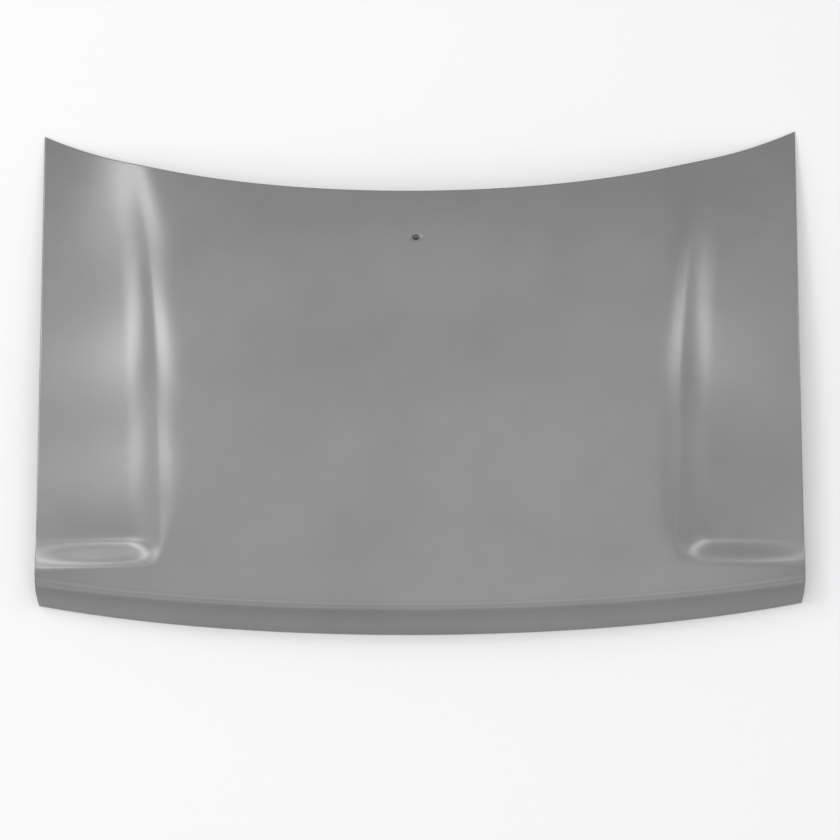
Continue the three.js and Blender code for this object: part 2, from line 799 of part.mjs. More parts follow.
const primer = new THREE.MeshStandardMaterial({ color: 0x929292, roughness: 0.42, metalness: 0 });
const framePrimer = new THREE.MeshStandardMaterial({ color: 0x858585, roughness: 0.6, metalness: 0 });
const platePrimer = new THREE.MeshStandardMaterial({ color: 0x7c7c7c, roughness: 0.6, metalness: 0 });
const zinc = new THREE.MeshStandardMaterial({ color: 0xb5b3a8, roughness: 0.35, metalness: 1 });
const mastic = new THREE.MeshStandardMaterial({ color: 0x303133, roughness: 0.8, metalness: 0 });

const bonnet = new THREE.Group();

function addPiece(name, geometry, material) {
  const mesh = new THREE.Mesh(geometry, material);
  mesh.name = name;
  bonnet.add(mesh);
}

addPiece('outer_skin', outerSkin(), primer);
addPiece('inner_frame', innerFrame(), framePrimer);
addPiece('hinge_plate_right', hingePlate(-hingeX), platePrimer);
addPiece('hinge_plate_left', hingePlate(hingeX), platePrimer);
hingeBoltPlaces.forEach(([x, y]) => {
  const name = `hinge_nut_${x < 0 ? 'right' : 'left'}_${y < hingeY ? 'front' : 'rear'}`;
  addPiece(name, hexNut(x, y, hingeNutBottom), zinc);
});
addPiece('latch_plate', latchPlate(), platePrimer);
addPiece('striker_plate', strikerPlate(), zinc);
addPiece('striker_loop', strikerLoop(), zinc);
strikerBoltPlaces.forEach(([x, y]) => {
  const side = x < 0 ? 'right' : 'left';
  addPiece(`striker_bolt_${side}`, strikerBolt(x, y), zinc);
  addPiece(`striker_nut_${side}`, hexNut(x, y, latchNutBottom), zinc);
});
masticPlaces().forEach((place, i) => {
  addPiece(`mastic_dab_${String(i + 1).padStart(2, '0')}`, masticDab(place), mastic);
});

// The origin is under the middle of the bonnet, on the floor that it lies on
const extent = new THREE.Box3().setFromObject(bonnet);
bonnet.position.set(0, -(extent.min.y + extent.max.y) / 2, -extent.min.z);

export default bonnet;
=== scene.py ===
"""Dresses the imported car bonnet: primed skin, pressed inner frame, striker, fasteners and mastic."""

import logging
import math
from dataclasses import dataclass
from enum import Enum
from typing import Any, Callable, Iterable

import bmesh
import bpy
from mathutils import Matrix, Vector


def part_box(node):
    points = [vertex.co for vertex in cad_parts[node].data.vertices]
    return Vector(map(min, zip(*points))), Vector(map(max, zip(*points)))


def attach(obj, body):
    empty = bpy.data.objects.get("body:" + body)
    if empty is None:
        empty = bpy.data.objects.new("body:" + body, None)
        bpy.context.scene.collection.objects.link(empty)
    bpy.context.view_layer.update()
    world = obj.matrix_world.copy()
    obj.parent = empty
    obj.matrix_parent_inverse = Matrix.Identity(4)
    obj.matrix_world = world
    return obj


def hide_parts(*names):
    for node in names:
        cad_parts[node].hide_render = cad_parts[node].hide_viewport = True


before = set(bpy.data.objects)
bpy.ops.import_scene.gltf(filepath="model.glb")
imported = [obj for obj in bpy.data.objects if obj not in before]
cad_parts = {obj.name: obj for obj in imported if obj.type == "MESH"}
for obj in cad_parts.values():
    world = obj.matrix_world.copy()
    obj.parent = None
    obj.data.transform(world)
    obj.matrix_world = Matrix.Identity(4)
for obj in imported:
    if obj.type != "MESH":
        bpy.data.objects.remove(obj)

BMesh, BMVert = bmesh.types.BMesh, bmesh.types.BMVert
BMEdge, BMFace = bmesh.types.BMEdge, bmesh.types.BMFace
Object, Material, Node, NodeTree = bpy.types.Object, bpy.types.Material, bpy.types.Node, bpy.types.NodeTree

MM = 0.001
IMAGE_PIXELS = 840.0
SENSOR_MM = 36.0
BODY = "root"
ROUND_SIDES = 32
SHARP_DEGREES = 35.0

# Colour sockets of a Mix node
MIX_A = 6
MIX_B = 7
MIX_RESULT = 2

logging.basicConfig(level=logging.INFO, format="%(message)s")
log = logging.getLogger("bonnet")


class Slot(Enum):
    """Material slots of the record."""

    SKIN = "skin_primer"
    FRAME = "frame_primer"
    PLATE = "plate_primer"
    ZINC = "zinc"
    MASTIC = "mastic"


# Small helpers


def linear(colour: str) -> tuple[float, float, float, float]:
    """Turns an sRGB hex colour to linear values.

    Args:
        colour: Six hex digits.

    Returns:
        Linear red, green and blue, and an alpha of one.
    """
    channels = [int(colour[i:i + 2], 16) / 255 for i in (0, 2, 4)]
    red, green, blue = (c / 12.92 if c <= 0.04045 else ((c + 0.055) / 1.055) ** 2.4 for c in channels)
    return red, green, blue, 1.0


def feed(tree: NodeTree, node: Node, links: dict[Any, Any]) -> None:
    """Gives a node's inputs what they take.

    Args:
        tree: The node tree.
        node: The node.
        links: Input name or number, and the output socket or plain value that it takes.
    """
    for key, source in links.items():
        if isinstance(source, bpy.types.NodeSocket):
            tree.links.new(source, node.inputs[key])
        else:
            node.inputs[key].default_value = source


def add(tree: NodeTree, kind: str, links: dict[Any, Any] | None = None, **settings: Any) -> Node:
    """Adds one shader node.

    Args:
        tree: The node tree.
        kind: The node's type name.
        links: What its inputs take.
        **settings: Attributes of the node.

    Returns:
        The new node.
    """
    node = tree.nodes.new(kind)
    for name, value in settings.items():
        setattr(node, name, value)
    feed(tree, node, links or {})
    return node


def pattern(tree: NodeTree, kind: str, size: float, **inputs: float) -> Node:
    """Adds and returns a texture on the object's coordinates, its features of the size in mm."""
    place = add(tree, "ShaderNodeTexCoord").outputs["Object"]
    return add(tree, kind, {"Vector": place, "Scale": 1.0 / (size * MM), **inputs})


def new_material(name: str) -> tuple[Material, NodeTree, Node]:
    """Returns a new material, its node tree and its shader."""
    material = bpy.data.materials.new(name)
    material.use_nodes = True
    return material, material.node_tree, material.node_tree.nodes["Principled BSDF"]


def new_object(name: str, data: bpy.types.ID) -> Object:
    """Returns a new object of the data, linked to the scene."""
    made = bpy.data.objects.new(name, data)
    bpy.context.scene.collection.objects.link(made)
    return made


def lerp(a: float, b: float, t: float) -> float:
    """Returns the value at share t of the way from a to b."""
    return a + (b - a) * t


def clamp(value: float, low: float, high: float) -> float:
    """Returns the value, held between low and high."""
    return max(low, min(high, value))


def smooth(value: float, low: float, high: float) -> float:
    """Returns 0 below low, 1 above high, and a smooth rise between them."""
    t = clamp((value - low) / (high - low), 0.0, 1.0)
    return t * t * (3.0 - 2.0 * t)


def on_spans(number: int, spans: tuple[tuple[int, float, float], ...], beyond: float) -> float:
    """Returns the place of a grid line, counted through spans of a count, a start and an end."""
    for count, low, high in spans:
        if number <= count:
            return lerp(low, high, number / count)
        number -= count
    return beyond


def new_piece(name: str, bm: BMesh, sharp: float = SHARP_DEGREES) -> Object:
    """Makes an object of a finished bmesh, smooth but for its sharp edges.

    Args:
        name: The piece's name.
        bm: The mesh in metres, which is freed.
        sharp: Angle in degrees above which an edge stays sharp.

    Returns:
        The linked object, at the origin.
    """
    mesh = bpy.data.meshes.new(name)
    bm.to_mesh(mesh)
    bm.free()
    for polygon in mesh.polygons:
        polygon.use_smooth = True
    mesh.set_sharp_from_angle(angle=math.radians(sharp))
    return new_object(name, mesh)


def to_frame(bm: BMesh, shift: Vector) -> None:
    """Moves a mesh from the drawing's millimetres to the frame's metres."""
    bmesh.ops.translate(bm, verts=bm.verts, vec=shift)
    bmesh.ops.scale(bm, verts=bm.verts, vec=(MM, MM, MM))


def sheet_of(name: str, face: BMesh, thickness: float, sharp: float = SHARP_DEGREES) -> Object:
    """Makes a sheet of its outer face.

    Args:
        name: The piece's name.
        face: The face in metres, which is freed.
        thickness: The sheet's thickness in mm, to the inside.
        sharp: Angle in degrees above which an edge stays sharp.

    Returns:
        The piece.
    """
    piece = new_piece(name, face, sharp)
    sheet = piece.modifiers.new("thickness", "SOLIDIFY")
    sheet.thickness = thickness * MM
    sheet.offset = -1.0
    return piece


def only(kind: type, geom: list) -> list:
    """Returns the parts of one kind out of a mesh operator's result."""
    return [g for g in geom if isinstance(g, kind)]


def unique(items: Iterable) -> list:
    """Returns the items once each, in the order in which they come."""
    return list(dict.fromkeys(items))


def rise(edge: BMEdge) -> float:
    """Returns how much higher one end of an edge lies than the other."""
    return abs(edge.verts[0].co.z - edge.verts[1].co.z)


def soften(bm: BMesh, edges: list[BMEdge], offset: float, segments: int, held: bool = False) -> None:
    """Rounds edges off over the offset, held back if asked where two rounds would cross."""
    bmesh.ops.bevel(
        bm, geom=edges, offset=offset, segments=segments, profile=0.5, affect="EDGES", clamp_overlap=held,
        material=-1)


def drill(bm: BMesh, middle: tuple[float, float, float], diameter: float, depth: float) -> None:
    """Adds an upright cylinder to a mesh, as a tool that cuts a round hole."""
    bmesh.ops.create_cone(
        bm, cap_ends=True, segments=ROUND_SIDES, radius1=diameter / 2, radius2=diameter / 2, depth=depth,
        matrix=Matrix.Translation(middle))


def stand_for(piece: Object, node: str, finish: Material) -> Object:
    """Dresses a piece and puts it in the place of a CAD node.

    Args:
        piece: The new piece.
        node: The node that it replaces.
        finish: The piece's material.

    Returns:
        The piece.
    """
    piece.data.materials.clear()
    piece.data.materials.append(finish)
    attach(piece, BODY)
    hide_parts(node)
    log.info("%s: %d faces", piece.name, len(piece.data.polygons))
    return piece


def settle(piece: Object) -> None:
    """Replaces a piece's mesh with what its modifiers make of it."""
    bpy.context.view_layer.update()
    graph = bpy.context.evaluated_depsgraph_get()
    mesh = bpy.data.meshes.new_from_object(piece.evaluated_get(graph), depsgraph=graph)
    piece.modifiers.clear()
    piece.data = mesh


# Surface of the pressing


@dataclass(frozen=True)
class PanelShape:
    """Outline and heights of the outer skin, in the millimetres of its drawing."""

    panel_length: float = 952.0
    rear_width: float = 1410.0
    front_width: float = 1340.0
    rear_sweep: float = 136.5
    front_sweep: float = 54.0
    rear_bow_share: float = 0.24
    front_bow_share: float = 0.15
    side_hollow: float = 5.0
    bend_height: float = 84.0
    rear_height: float = 58.0
    length_arch: float = 20.0
    front_crown: float = 28.0
    rear_crown: float = 27.6
    crown_bow_share: float = 0.3
    bend_to_nose: float = 104.0
    apron_slope: float = math.radians(9.0)
    face_lean: float = math.radians(18.0)
    nose_reach: float = 45.0
    face_handle: float = 0.5
    roll_handle: float = 28.0
    strip_depth: float = 8.0
    strip_rear_depth: float = 3.0
    strip_dish: float = 5.0
    strip_fade_start: float = 120.0
    wall_width: float = 66.0
    ramp_width: float = 60.0
    crease_round: float = 10.0
    foot_round: float = 42.0
    strip_width: float = 225.0
    strip_taper: float = 13.0
    crease_flare: float = 38.0
    crease_start: float = -250.0
    crease_span: float = 650.0
    shoulder_width: float = 80.0
    shoulder_drop: float = 2.8
    skin_thickness: float = 0.8
    frame_thickness: float = 0.7
    hem_clearance: float = 0.3
    hem_lip: float = 9.0
    hem_stand_off: float = 0.05
    latch_setback: float = 66.0
    hinge_inset: float = 115.0
    hinge_setback: float = 126.0
    cross_rib_share: float = 0.437
    diagonal_inset: float = 33.0
    diagonal_lap: float = 15.0
    latch_pad_width: float = 124.0
    hinge_pad_half_width: float = 26.0
    hinge_pad_half_length: float = 42.0
    latch_pad_half_length: float = 22.0
    latch_pad_height: float = 47.0
    hinge_bolt_reach: float = 22.0
    latch_bolt_reach: float = 39.0
    striker_leg_reach: float = 18.0
    bolt_hole: float = 9.4
    leg_hole: float = 8.6

    @property
    def hem_thickness(self) -> float:
        """Thickness of the folded edge."""
        return 2 * self.skin_thickness + 2 * self.hem_clearance + self.frame_thickness

    @property
    def hem_radius(self) -> float:
        """Outer radius of the fold."""
        return self.hem_thickness / 2

    @property
    def y_front(self) -> float:
        """Place of the nose on the centre line."""
        return -self.panel_length / 2

    @property
    def y_rear_corner(self) -> float:
        """Place of the rear corners."""
        return self.panel_length / 2 - self.hem_radius

    @property
    def y_rear(self) -> float:
        """Place of the rear edge on the centre line."""
        return self.y_rear_corner - self.rear_sweep

    @property
    def y_bend(self) -> float:
        """Place of the bend between apron and centre panel."""
        return self.y_front + self.bend_to_nose

    @property
    def half_rear(self) -> float:
        """Half the width at the rear corners."""
        return self.rear_width / 2 - self.hem_radius

    @property
    def half_front(self) -> float:
        """Half the width at the front corners."""
        return self.front_width / 2 - self.hem_radius

    @property
    def hinge_place(self) -> Vector:
        """Middle of the left hinge pad in plan."""
        return Vector((self.rear_width / 2 - self.hinge_inset, self.panel_length / 2 - self.hinge_setback))

    @property
    def latch_place(self) -> Vector:
        """Middle of the latch pad in plan."""
        return Vector((0.0, self.y_front + self.latch_setback))

    @property
    def cross_rib_y(self) -> float:
        """Place of the cross rib."""
        return self.y_front + self.cross_rib_share * self.panel_length

    @property
    def diagonal_ends(self) -> tuple[Vector, Vector]:
        """Front and rear end of the left diagonal rib in plan."""
        front = self.latch_place + Vector((self.latch_pad_width / 2 + self.diagonal_inset, self.diagonal_lap))
        return front, self.hinge_place - Vector((self.diagonal_lap, self.diagonal_lap))

    @staticmethod
    def bow(t: float, share: float) -> float:
        """Returns the height of a bow at t, of which share is of the fourth power."""
        return (1 - share) * t ** 2 + share * t ** 4

    def length_share(self, y: float) -> float:
        """Returns how far y lies from the front to the rear corners."""
        front = self.y_front + self.front_sweep
        return (y - front) / (self.y_rear_corner - front)

    def half_width(self, y: float) -> float:
        """Returns half the panel's width at y."""
        s = self.length_share(y)
        return lerp(self.half_front, self.half_rear, s) - 4 * self.side_hollow * s * (1 - s)

    def front_edge_y(self, x: float) -> float:
        """Returns the place of the front edge at x."""
        return self.y_front + self.front_sweep * self.bow(x / self.half_front, self.front_bow_share)

    def rear_edge_y(self, x: float) -> float:
        """Returns the place of the rear edge at x."""
        return self.y_rear + self.rear_sweep * self.bow(x / self.half_rear, self.rear_bow_share)

    def crease_x(self, y: float) -> float:
        """Returns the distance of the raised panel's edge from the centre line at y."""
        s = (y - self.crease_start) / self.crease_span
        inset = self.strip_width - self.strip_taper * s - self.crease_flare * max(s, 0.0) ** 4
        return self.half_width(y) - inset

    def centre_height(self, y: float) -> float:
        """Returns the height of the centre line at y."""
        if y < self.y_bend:
            return self.bend_height - (self.y_bend - y) * math.tan(self.apron_slope)
        s = (y - self.y_bend) / (self.y_rear - self.y_bend)
        return lerp(self.bend_height, self.rear_height, s) + 4 * self.length_arch * s * (1 - s)

    def body_height(self, x: float, y: float) -> float:
        """Returns the height of the crowned body, without the lowered strips."""
        crown = lerp(self.front_crown, self.rear_crown, clamp(self.length_share(y), 0.0, 1.0))
        return self.centre_height(y) - crown * self.bow(x / self.half_width(y), self.crown_bow_share)

    def strip_step(self, x: float, y: float) -> float:
        """Returns how far the side strip lies below the raised centre.

        Args:
            x: Distance across the car.
            y: Distance along the car.

        Returns:
            The drop, crisp at the strip's upper edge and soft at its foot.
        """
        across = (abs(x) - self.crease_x(y)) / self.wall_width
        along = (y - self.y_bend) / self.ramp_width
        if along <= 0:
            return 0.0
        faded = smooth(y, self.strip_fade_start, self.y_rear_corner)
        depth = lerp(self.strip_depth, self.strip_rear_depth, faded)
        near_crease = clamp(1 + across * self.wall_width / self.shoulder_width, 0.0, 1.0)
        shoulder = near_crease ** 4 * self.shoulder_drop
        fade = smooth(along, 0.0, 2.0)
        if across <= 0:
            return shoulder * fade
        ramp = smooth(along, 0.0, 1.0)
        wall = self.wall_profile(clamp(across, 0.0, 1.0)) * ramp
        spread = across * self.wall_width / (self.half_width(y) - self.crease_x(y))
        dish = 4 * self.strip_dish * spread * (1 - spread) * ramp
        return depth * wall + dish + self.shoulder_drop * fade * (1 - wall)

    def wall_profile(self, t: float) -> float:
        """Returns the share of the drop at share t of the wall, a slope rounded at both ends."""
        top, foot = self.crease_round / self.wall_width, self.foot_round / self.wall_width
        slope = 1 / (1 - (top + foot) / 2)
        if t < top:
            return slope * t * t / (2 * top)
        if t > 1 - foot:
            return 1 - slope * (1 - t) ** 2 / (2 * foot)
        return slope * (t - top / 2)

    def height(self, x: float, y: float) -> float:
        """Returns the height of the outer face."""
        return self.body_height(x, y) - self.strip_step(x, y)

    def nose_point(self, x: float, t: float) -> Vector:
        """Returns a point of the turned-down nose.

        Args:
            x: Distance across the car.
            t: Share of the way from the hem, up the face and over the roll.

        Returns:
            The point.
        """
        y0 = self.front_edge_y(x)
        top = self.body_height(x, y0 + self.nose_reach)
        face = self.face_handle * top
        foot = self.hem_radius * (1 + math.sin(self.face_lean)) + self.hem_stand_off
        handles = (
            (0.0, foot),
            (face * math.sin(self.face_lean), foot + face * math.cos(self.face_lean)),
            (self.nose_reach - self.roll_handle * math.cos(self.apron_slope),
             top - self.roll_handle * math.sin(self.apron_slope)),
            (self.nose_reach, top),
        )
        weights = ((1 - t) ** 3, 3 * t * (1 - t) ** 2, 3 * t ** 2 * (1 - t), t ** 3)
        along = sum(w * h[0] for w, h in zip(weights, handles))
        up = sum(w * h[1] for w, h in zip(weights, handles))
        return Vector((x, y0 + along, up))


SHAPE = PanelShape()


def drawing_shift() -> Vector:
    """Returns what moves a point of the drawing to its place in the frame, in mm."""
    low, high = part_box("latch_plate")
    along = (low.y + high.y) / 2 / MM - (SHAPE.y_front + SHAPE.latch_setback)
    up = -min(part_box(name)[0].z for name in ("outer_skin", "inner_frame")) / MM
    return Vector((0.0, along, up))


# Finishes


@dataclass(frozen=True)
class SatinPrimer:
    """Baked grey steel primer, sprayed: an even satin sheen with faint orange peel and a little dust."""

    name: str
    colour: str = "707070"
    pale: str = "777777"
    roughness: float = 0.21
    gloss: float = 0.9
    mottle_mm: float = 180.0
    peel_mm: float = 3.0
    peel_height_mm: float = 0.012
    speck_mm: float = 46.0
    speck_radius_mm: float = 0.7
    speck_colour: str = "c9c9c6"

    def build(self) -> Material:
        """Returns the material."""
        material, tree, shader = new_material(self.name)
        mottle = pattern(tree, "ShaderNodeTexNoise", self.mottle_mm, Detail=3.0)
        tone = add(tree, "ShaderNodeMapRange", {
            "Value": mottle.outputs["Fac"], "From Min": 0.35, "From Max": 0.65,
        })
        coat = add(tree, "ShaderNodeMix", {
            0: tone.outputs["Result"], MIX_A: linear(self.colour), MIX_B: linear(self.pale),
        }, data_type="RGBA")
        cells = pattern(tree, "ShaderNodeTexVoronoi", self.speck_mm)
        edge = self.speck_radius_mm / self.speck_mm
        speck = add(tree, "ShaderNodeMapRange", {
            "Value": cells.outputs["Distance"], "From Min": edge, "From Max": 0.6 * edge,
        })
        dusty = add(tree, "ShaderNodeMix", {
            0: speck.outputs["Result"], MIX_A: coat.outputs[MIX_RESULT], MIX_B: linear(self.speck_colour),
        }, data_type="RGBA")
        peel = pattern(tree, "ShaderNodeTexNoise", self.peel_mm, Detail=1.0)
        bump = add(tree, "ShaderNodeBump", {
            "Height": peel.outputs["Fac"], "Distance": self.peel_height_mm * MM, "Strength": 1.0,
        })
        feed(tree, shader, {
            "Base Color": dusty.outputs[MIX_RESULT], "Normal": bump.outputs["Normal"],
            "Roughness": self.roughness, "Specular IOR Level": self.gloss,
        })
        return material


@dataclass(frozen=True)
class ZincPlate:
    """Bright zinc plating on steel: a pale metal whose sheen breaks up in fine grains."""

    name: str
    colour: str = "c3c2ba"
    roughness: float = 0.34
    grain_mm: float = 1.2

    def build(self) -> Material:
        """Returns the material."""
        material, tree, shader = new_material(self.name)
        grain = pattern(tree, "ShaderNodeTexNoise", self.grain_mm, Detail=2.0)
        sheen = add(tree, "ShaderNodeMapRange", {
            "Value": grain.outputs["Fac"], "To Min": self.roughness - 0.08, "To Max": self.roughness + 0.12,
        })
        feed(tree, shader, {
            "Roughness": sheen.outputs["Result"], "Base Color": linear(self.colour), "Metallic": 1.0,
        })
        return material


@dataclass(frozen=True)
class SoftMastic:
    """Anti-flutter mastic, pumped on in dabs: a dark, dull, slightly lumpy paste."""

    name: str
    colour: str = "2c2d2f"
    roughness: float = 0.78
    lump_mm: float = 3.0
    lump_height_mm: float = 0.3

    def build(self) -> Material:
        """Returns the material."""
        material, tree, shader = new_material(self.name)
        lumps = pattern(tree, "ShaderNodeTexNoise", self.lump_mm, Detail=3.0)
        bump = add(tree, "ShaderNodeBump", {
            "Height": lumps.outputs["Fac"], "Distance": self.lump_height_mm * MM,
        })
        feed(tree, shader, {
            "Normal": bump.outputs["Normal"], "Base Color": linear(self.colour), "Roughness": self.roughness,
        })
        return material


# Outer skin


@dataclass
class OuterSkin:
    """The hemmed outer sheet: a fine grid of the pressing, folded round at its edge."""

    finish: Material
    shift: Vector
    plateau_columns: int = 22
    shoulder_columns: int = 12
    wall_columns: int = 14
    strip_columns: int = 16
    nose_rows: int = 18
    apron_rows: int = 8
    ramp_rows: int = 12
    field_rows: int = 70
    jet_hole_diameter: float = 12.0
    jet_hole_x: float = -5.0
    jet_hole_setback: float = 96.0
    patch_reach: float = 40.0
    fit_reach: float = 60.0
    fold_steps: int = 6
    edge_cell: float = 2.0
    settling_passes: int = 6

    @property
    def jet_hole_place(self) -> Vector:
        """Middle of the washer jet hole in plan."""
        x = self.jet_hole_x
        return Vector((x, SHAPE.rear_edge_y(x) - self.jet_hole_setback))

    def station(self, column: int, y: float) -> float:
        """Returns the distance from the centre line of a grid column at y.

        Args:
            column: Column number, counted from the centre line.
            y: Distance along the car.

        Returns:
            The distance in mm, without its sign.
        """
        crease, side = SHAPE.crease_x(y), SHAPE.half_width(y)
        foot = crease + SHAPE.wall_width
        spans = (
            (self.plateau_columns, 0.0, crease - SHAPE.shoulder_width),
            (self.shoulder_columns, crease - SHAPE.shoulder_width, crease),
            (self.wall_columns, crease, foot),
            (self.strip_columns, foot, side - self.edge_cell),
        )
        return on_spans(column, spans, side)

    def row_point(self, row: int, x: float) -> Vector:
        """Returns the point of a grid row at x.

        Args:
            row: Row number, counted from the hem of the nose.
            x: Distance across the car.

        Returns:
            The point in the drawing's millimetres.
        """
        if row < self.nose_rows:
            return SHAPE.nose_point(x, row / self.nose_rows)
        roll_end, rear = SHAPE.front_edge_y(x) + SHAPE.nose_reach, SHAPE.rear_edge_y(x)
        ramp_end = SHAPE.y_bend + SHAPE.ramp_width
        spans = (
            (self.apron_rows, roll_end, SHAPE.y_bend),
            (self.ramp_rows, SHAPE.y_bend, ramp_end),
            (self.field_rows, ramp_end, rear - self.edge_cell),
        )
        y = on_spans(row - self.nose_rows, spans, rear)
        return Vector((x, y, SHAPE.height(x, y)))

    def grid_point(self, row: int, column: int) -> Vector:
        """Returns the place of one grid vertex, its column counted from the centre line with a sign."""
        sign = 1.0 if column > 0 else -1.0
        point = self.row_point(row, 0.0)
        for _ in range(self.settling_passes):
            point = self.row_point(row, sign * self.station(abs(column), point.y))
        return point

    def outer_face(self) -> BMesh:
        """Returns the outer face of the pressing, without its hem."""
        half = self.plateau_columns + self.shoulder_columns + self.wall_columns + self.strip_columns + 1
        rows = self.nose_rows + self.apron_rows + self.ramp_rows + self.field_rows + 1
        bm = bmesh.new()
        bmesh.ops.create_grid(bm, x_segments=2 * half, y_segments=rows, size=1.0)
        for vert in bm.verts:
            column = round(vert.co.x * half)
            row = round((vert.co.y + 1) / 2 * rows)
            vert.co = self.grid_point(row, column)
        return bm

    def pierce(self, bm: BMesh) -> None:
        """Opens the round washer jet hole in the outer face.

        Args:
            bm: The outer face, which is changed.
        """
        (x, y), radius = self.jet_hole_place, self.jet_hole_diameter / 2

        def within(reach: float) -> list[BMVert]:
            return [v for v in bm.verts if abs(v.co.x - x) < reach and abs(v.co.y - y) < reach]

        near = within(self.patch_reach)
        faces = unique(f for v in near for f in v.link_faces)
        edges = unique(e for f in faces for e in f.edges)
        bmesh.ops.subdivide_edges(bm, edges=edges, cuts=3, use_grid_fill=True)
        near = [v for v in bm.verts if math.hypot(v.co.x - x, v.co.y - y) < radius]
        gone = unique(f for v in near for f in v.link_faces)
        rim = unique(v for f in gone for v in f.verts if any(g not in gone for g in v.link_faces))
        bmesh.ops.delete(bm, geom=gone, context="FACES")
        for vert in rim:
            away = Vector((vert.co.x - x, vert.co.y - y)).normalized() * radius
            vert.co.x, vert.co.y = x + away.x, y + away.y
        for vert in within(self.fit_reach):
            vert.co.z = SHAPE.height(vert.co.x, vert.co.y)

    def fold_offsets(self) -> list[tuple[float, float]]:
        """Returns the outward and upward steps of the hem from the edge of the outer face."""
        radius = SHAPE.hem_radius
        turns = [math.pi * i / self.fold_steps for i in range(1, self.fold_steps + 1)]
        arc = [(radius * math.sin(a), radius * (math.cos(a) - 1)) for a in turns]
        return [*arc, (-SHAPE.hem_lip / 2, -2 * radius), (-SHAPE.hem_lip, -2 * radius)]

    def fold(self, bm: BMesh) -> None:
        """Folds the sheet's edge round and back, ring by ring.

        Args:
            bm: The outer face, which gains the hem.
        """
        hole = self.jet_hole_place
        border = [
            e for e in bm.edges if e.is_boundary and (e.verts[0].co.xy - hole).length > self.jet_hole_diameter
        ]
        bm.normal_update()
        base: dict[BMVert, tuple[Vector, Vector, Vector]] = {}
        for vert in unique(v for e in border for v in e.verts):
            away = Vector()
            # A corner of the sheet leans away from both its border edges, other places from the inner one
            for edge in vert.link_edges:
                if not edge.is_boundary or len(vert.link_edges) == 2:
                    away += (vert.co - edge.other_vert(vert).co).normalized()
            base[vert] = (vert.co.copy(), away, vert.normal.copy())
        for out, up in self.fold_offsets():
            made = bmesh.ops.extrude_edge_only(bm, edges=border)["geom"]
            verts = only(BMVert, made)
            moved = {}
            for vert in verts:
                old = next(e.other_vert(vert) for e in vert.link_edges if e.other_vert(vert) in base)
                start, away, normal = base[old]
                vert.co = start + away * out + normal * up
                moved[vert] = base[old]
            base = moved
            border = [e for e in only(BMEdge, made) if all(v in base for v in e.verts)]

    def build(self) -> Object:
        """Returns the finished skin, with its thickness."""
        bm = self.outer_face()
        self.pierce(bm)
        self.fold(bm)
        to_frame(bm, self.shift)
        piece = sheet_of("outer_skin_sheet", bm, SHAPE.skin_thickness, sharp=50.0)
        return stand_for(piece, "outer_skin", self.finish)


# Inner frame


def rounded(points: list[Vector], share: float = 0.22, steps: int = 4) -> list[Vector]:
    """Rounds the bends of a line.

    Args:
        points: The line's corners.
        share: Share of the segments beside a bend that its arc takes.
        steps: Segments of each arc.

    Returns:
        The line's points, its ends kept.
    """
    line = [points[0]]
    for before, corner, after in zip(points, points[1:], points[2:]):
        start, end = corner.lerp(before, share), corner.lerp(after, share)
        for i in range(steps + 1):
            t = i / steps
            line.append(start.lerp(corner, t).lerp(corner.lerp(end, t), t))
    return [*line, points[-1]]


def soft_line(value: float, knots: tuple[tuple[float, float], ...], reach: float) -> float:
    """Returns a line through the knots at the value, its bends rounded over the reach to either side."""
    total = 0.0
    samples = (-1.0, -0.5, 0.0, 0.5, 1.0)
    for sample in samples:
        place = value + sample * reach
        result = knots[-1][1]
        for (x0, z0), (x1, z1) in zip(knots, knots[1:]):
            if place < x1:
                result = lerp(z0, z1, clamp((place - x0) / (x1 - x0), 0.0, 1.0))
                break
        total += result
    return total / len(samples)


def soft_min(a: float, b: float, reach: float) -> float:
    """Returns the lesser of two heights, blended where they come within the reach."""
    overlap = max(reach - abs(a - b), 0.0) / reach
    return min(a, b) - overlap ** 2 * reach / 4


def soft_positive(value: float, reach: float) -> float:
    """Returns the value if it is positive or else zero, rounded over the reach about zero."""
    if abs(value) >= reach:
        return max(value, 0.0)
    return (value + reach) ** 2 / (4 * reach)


@dataclass(frozen=True)
class PressedPad:
    """A level pad pressed down into the frame, with drafted sides and rounded corners."""

    middle: Vector
    half_width: float
    half_length: float
    floor: float
    draft: float
    corner: float = 4.0
    foot: float = 2.0
    margin: float = 22.0
    step: float = 4.0

    def height(self, x: float, y: float) -> float:
        """Returns the height of the pad's floor and side walls at a place in plan."""
        inset = Vector((self.half_width - self.corner, self.half_length - self.corner))
        over = Vector((abs(x - self.middle.x), abs(y - self.middle.y))) - inset
        outside = math.hypot(max(over.x, 0.0), max(over.y, 0.0)) + min(max(over.x, over.y), 0.0) - self.corner
        return self.floor + soft_positive(outside, self.foot) / self.draft

    def cut_lines(self) -> list[tuple[Vector, Vector]]:
        """Returns a point and a direction across, for each extra grid line over the pad."""
        lines = []
        for across, half in ((Vector((1.0, 0.0)), self.half_width), (Vector((0.0, 1.0)), self.half_length)):
            reach = half + self.margin
            count = round(2 * reach / self.step)
            places = (lerp(-reach, reach, i / count) for i in range(count + 1))
            lines += [(self.middle + across * place, across) for place in places]
        return lines

    def covers(self, x: float, y: float) -> bool:
        """Tells if a place lies on the pad or close beside it."""
        return (abs(x - self.middle.x) < self.half_width + self.margin
                and abs(y - self.middle.y) < self.half_length + self.margin)


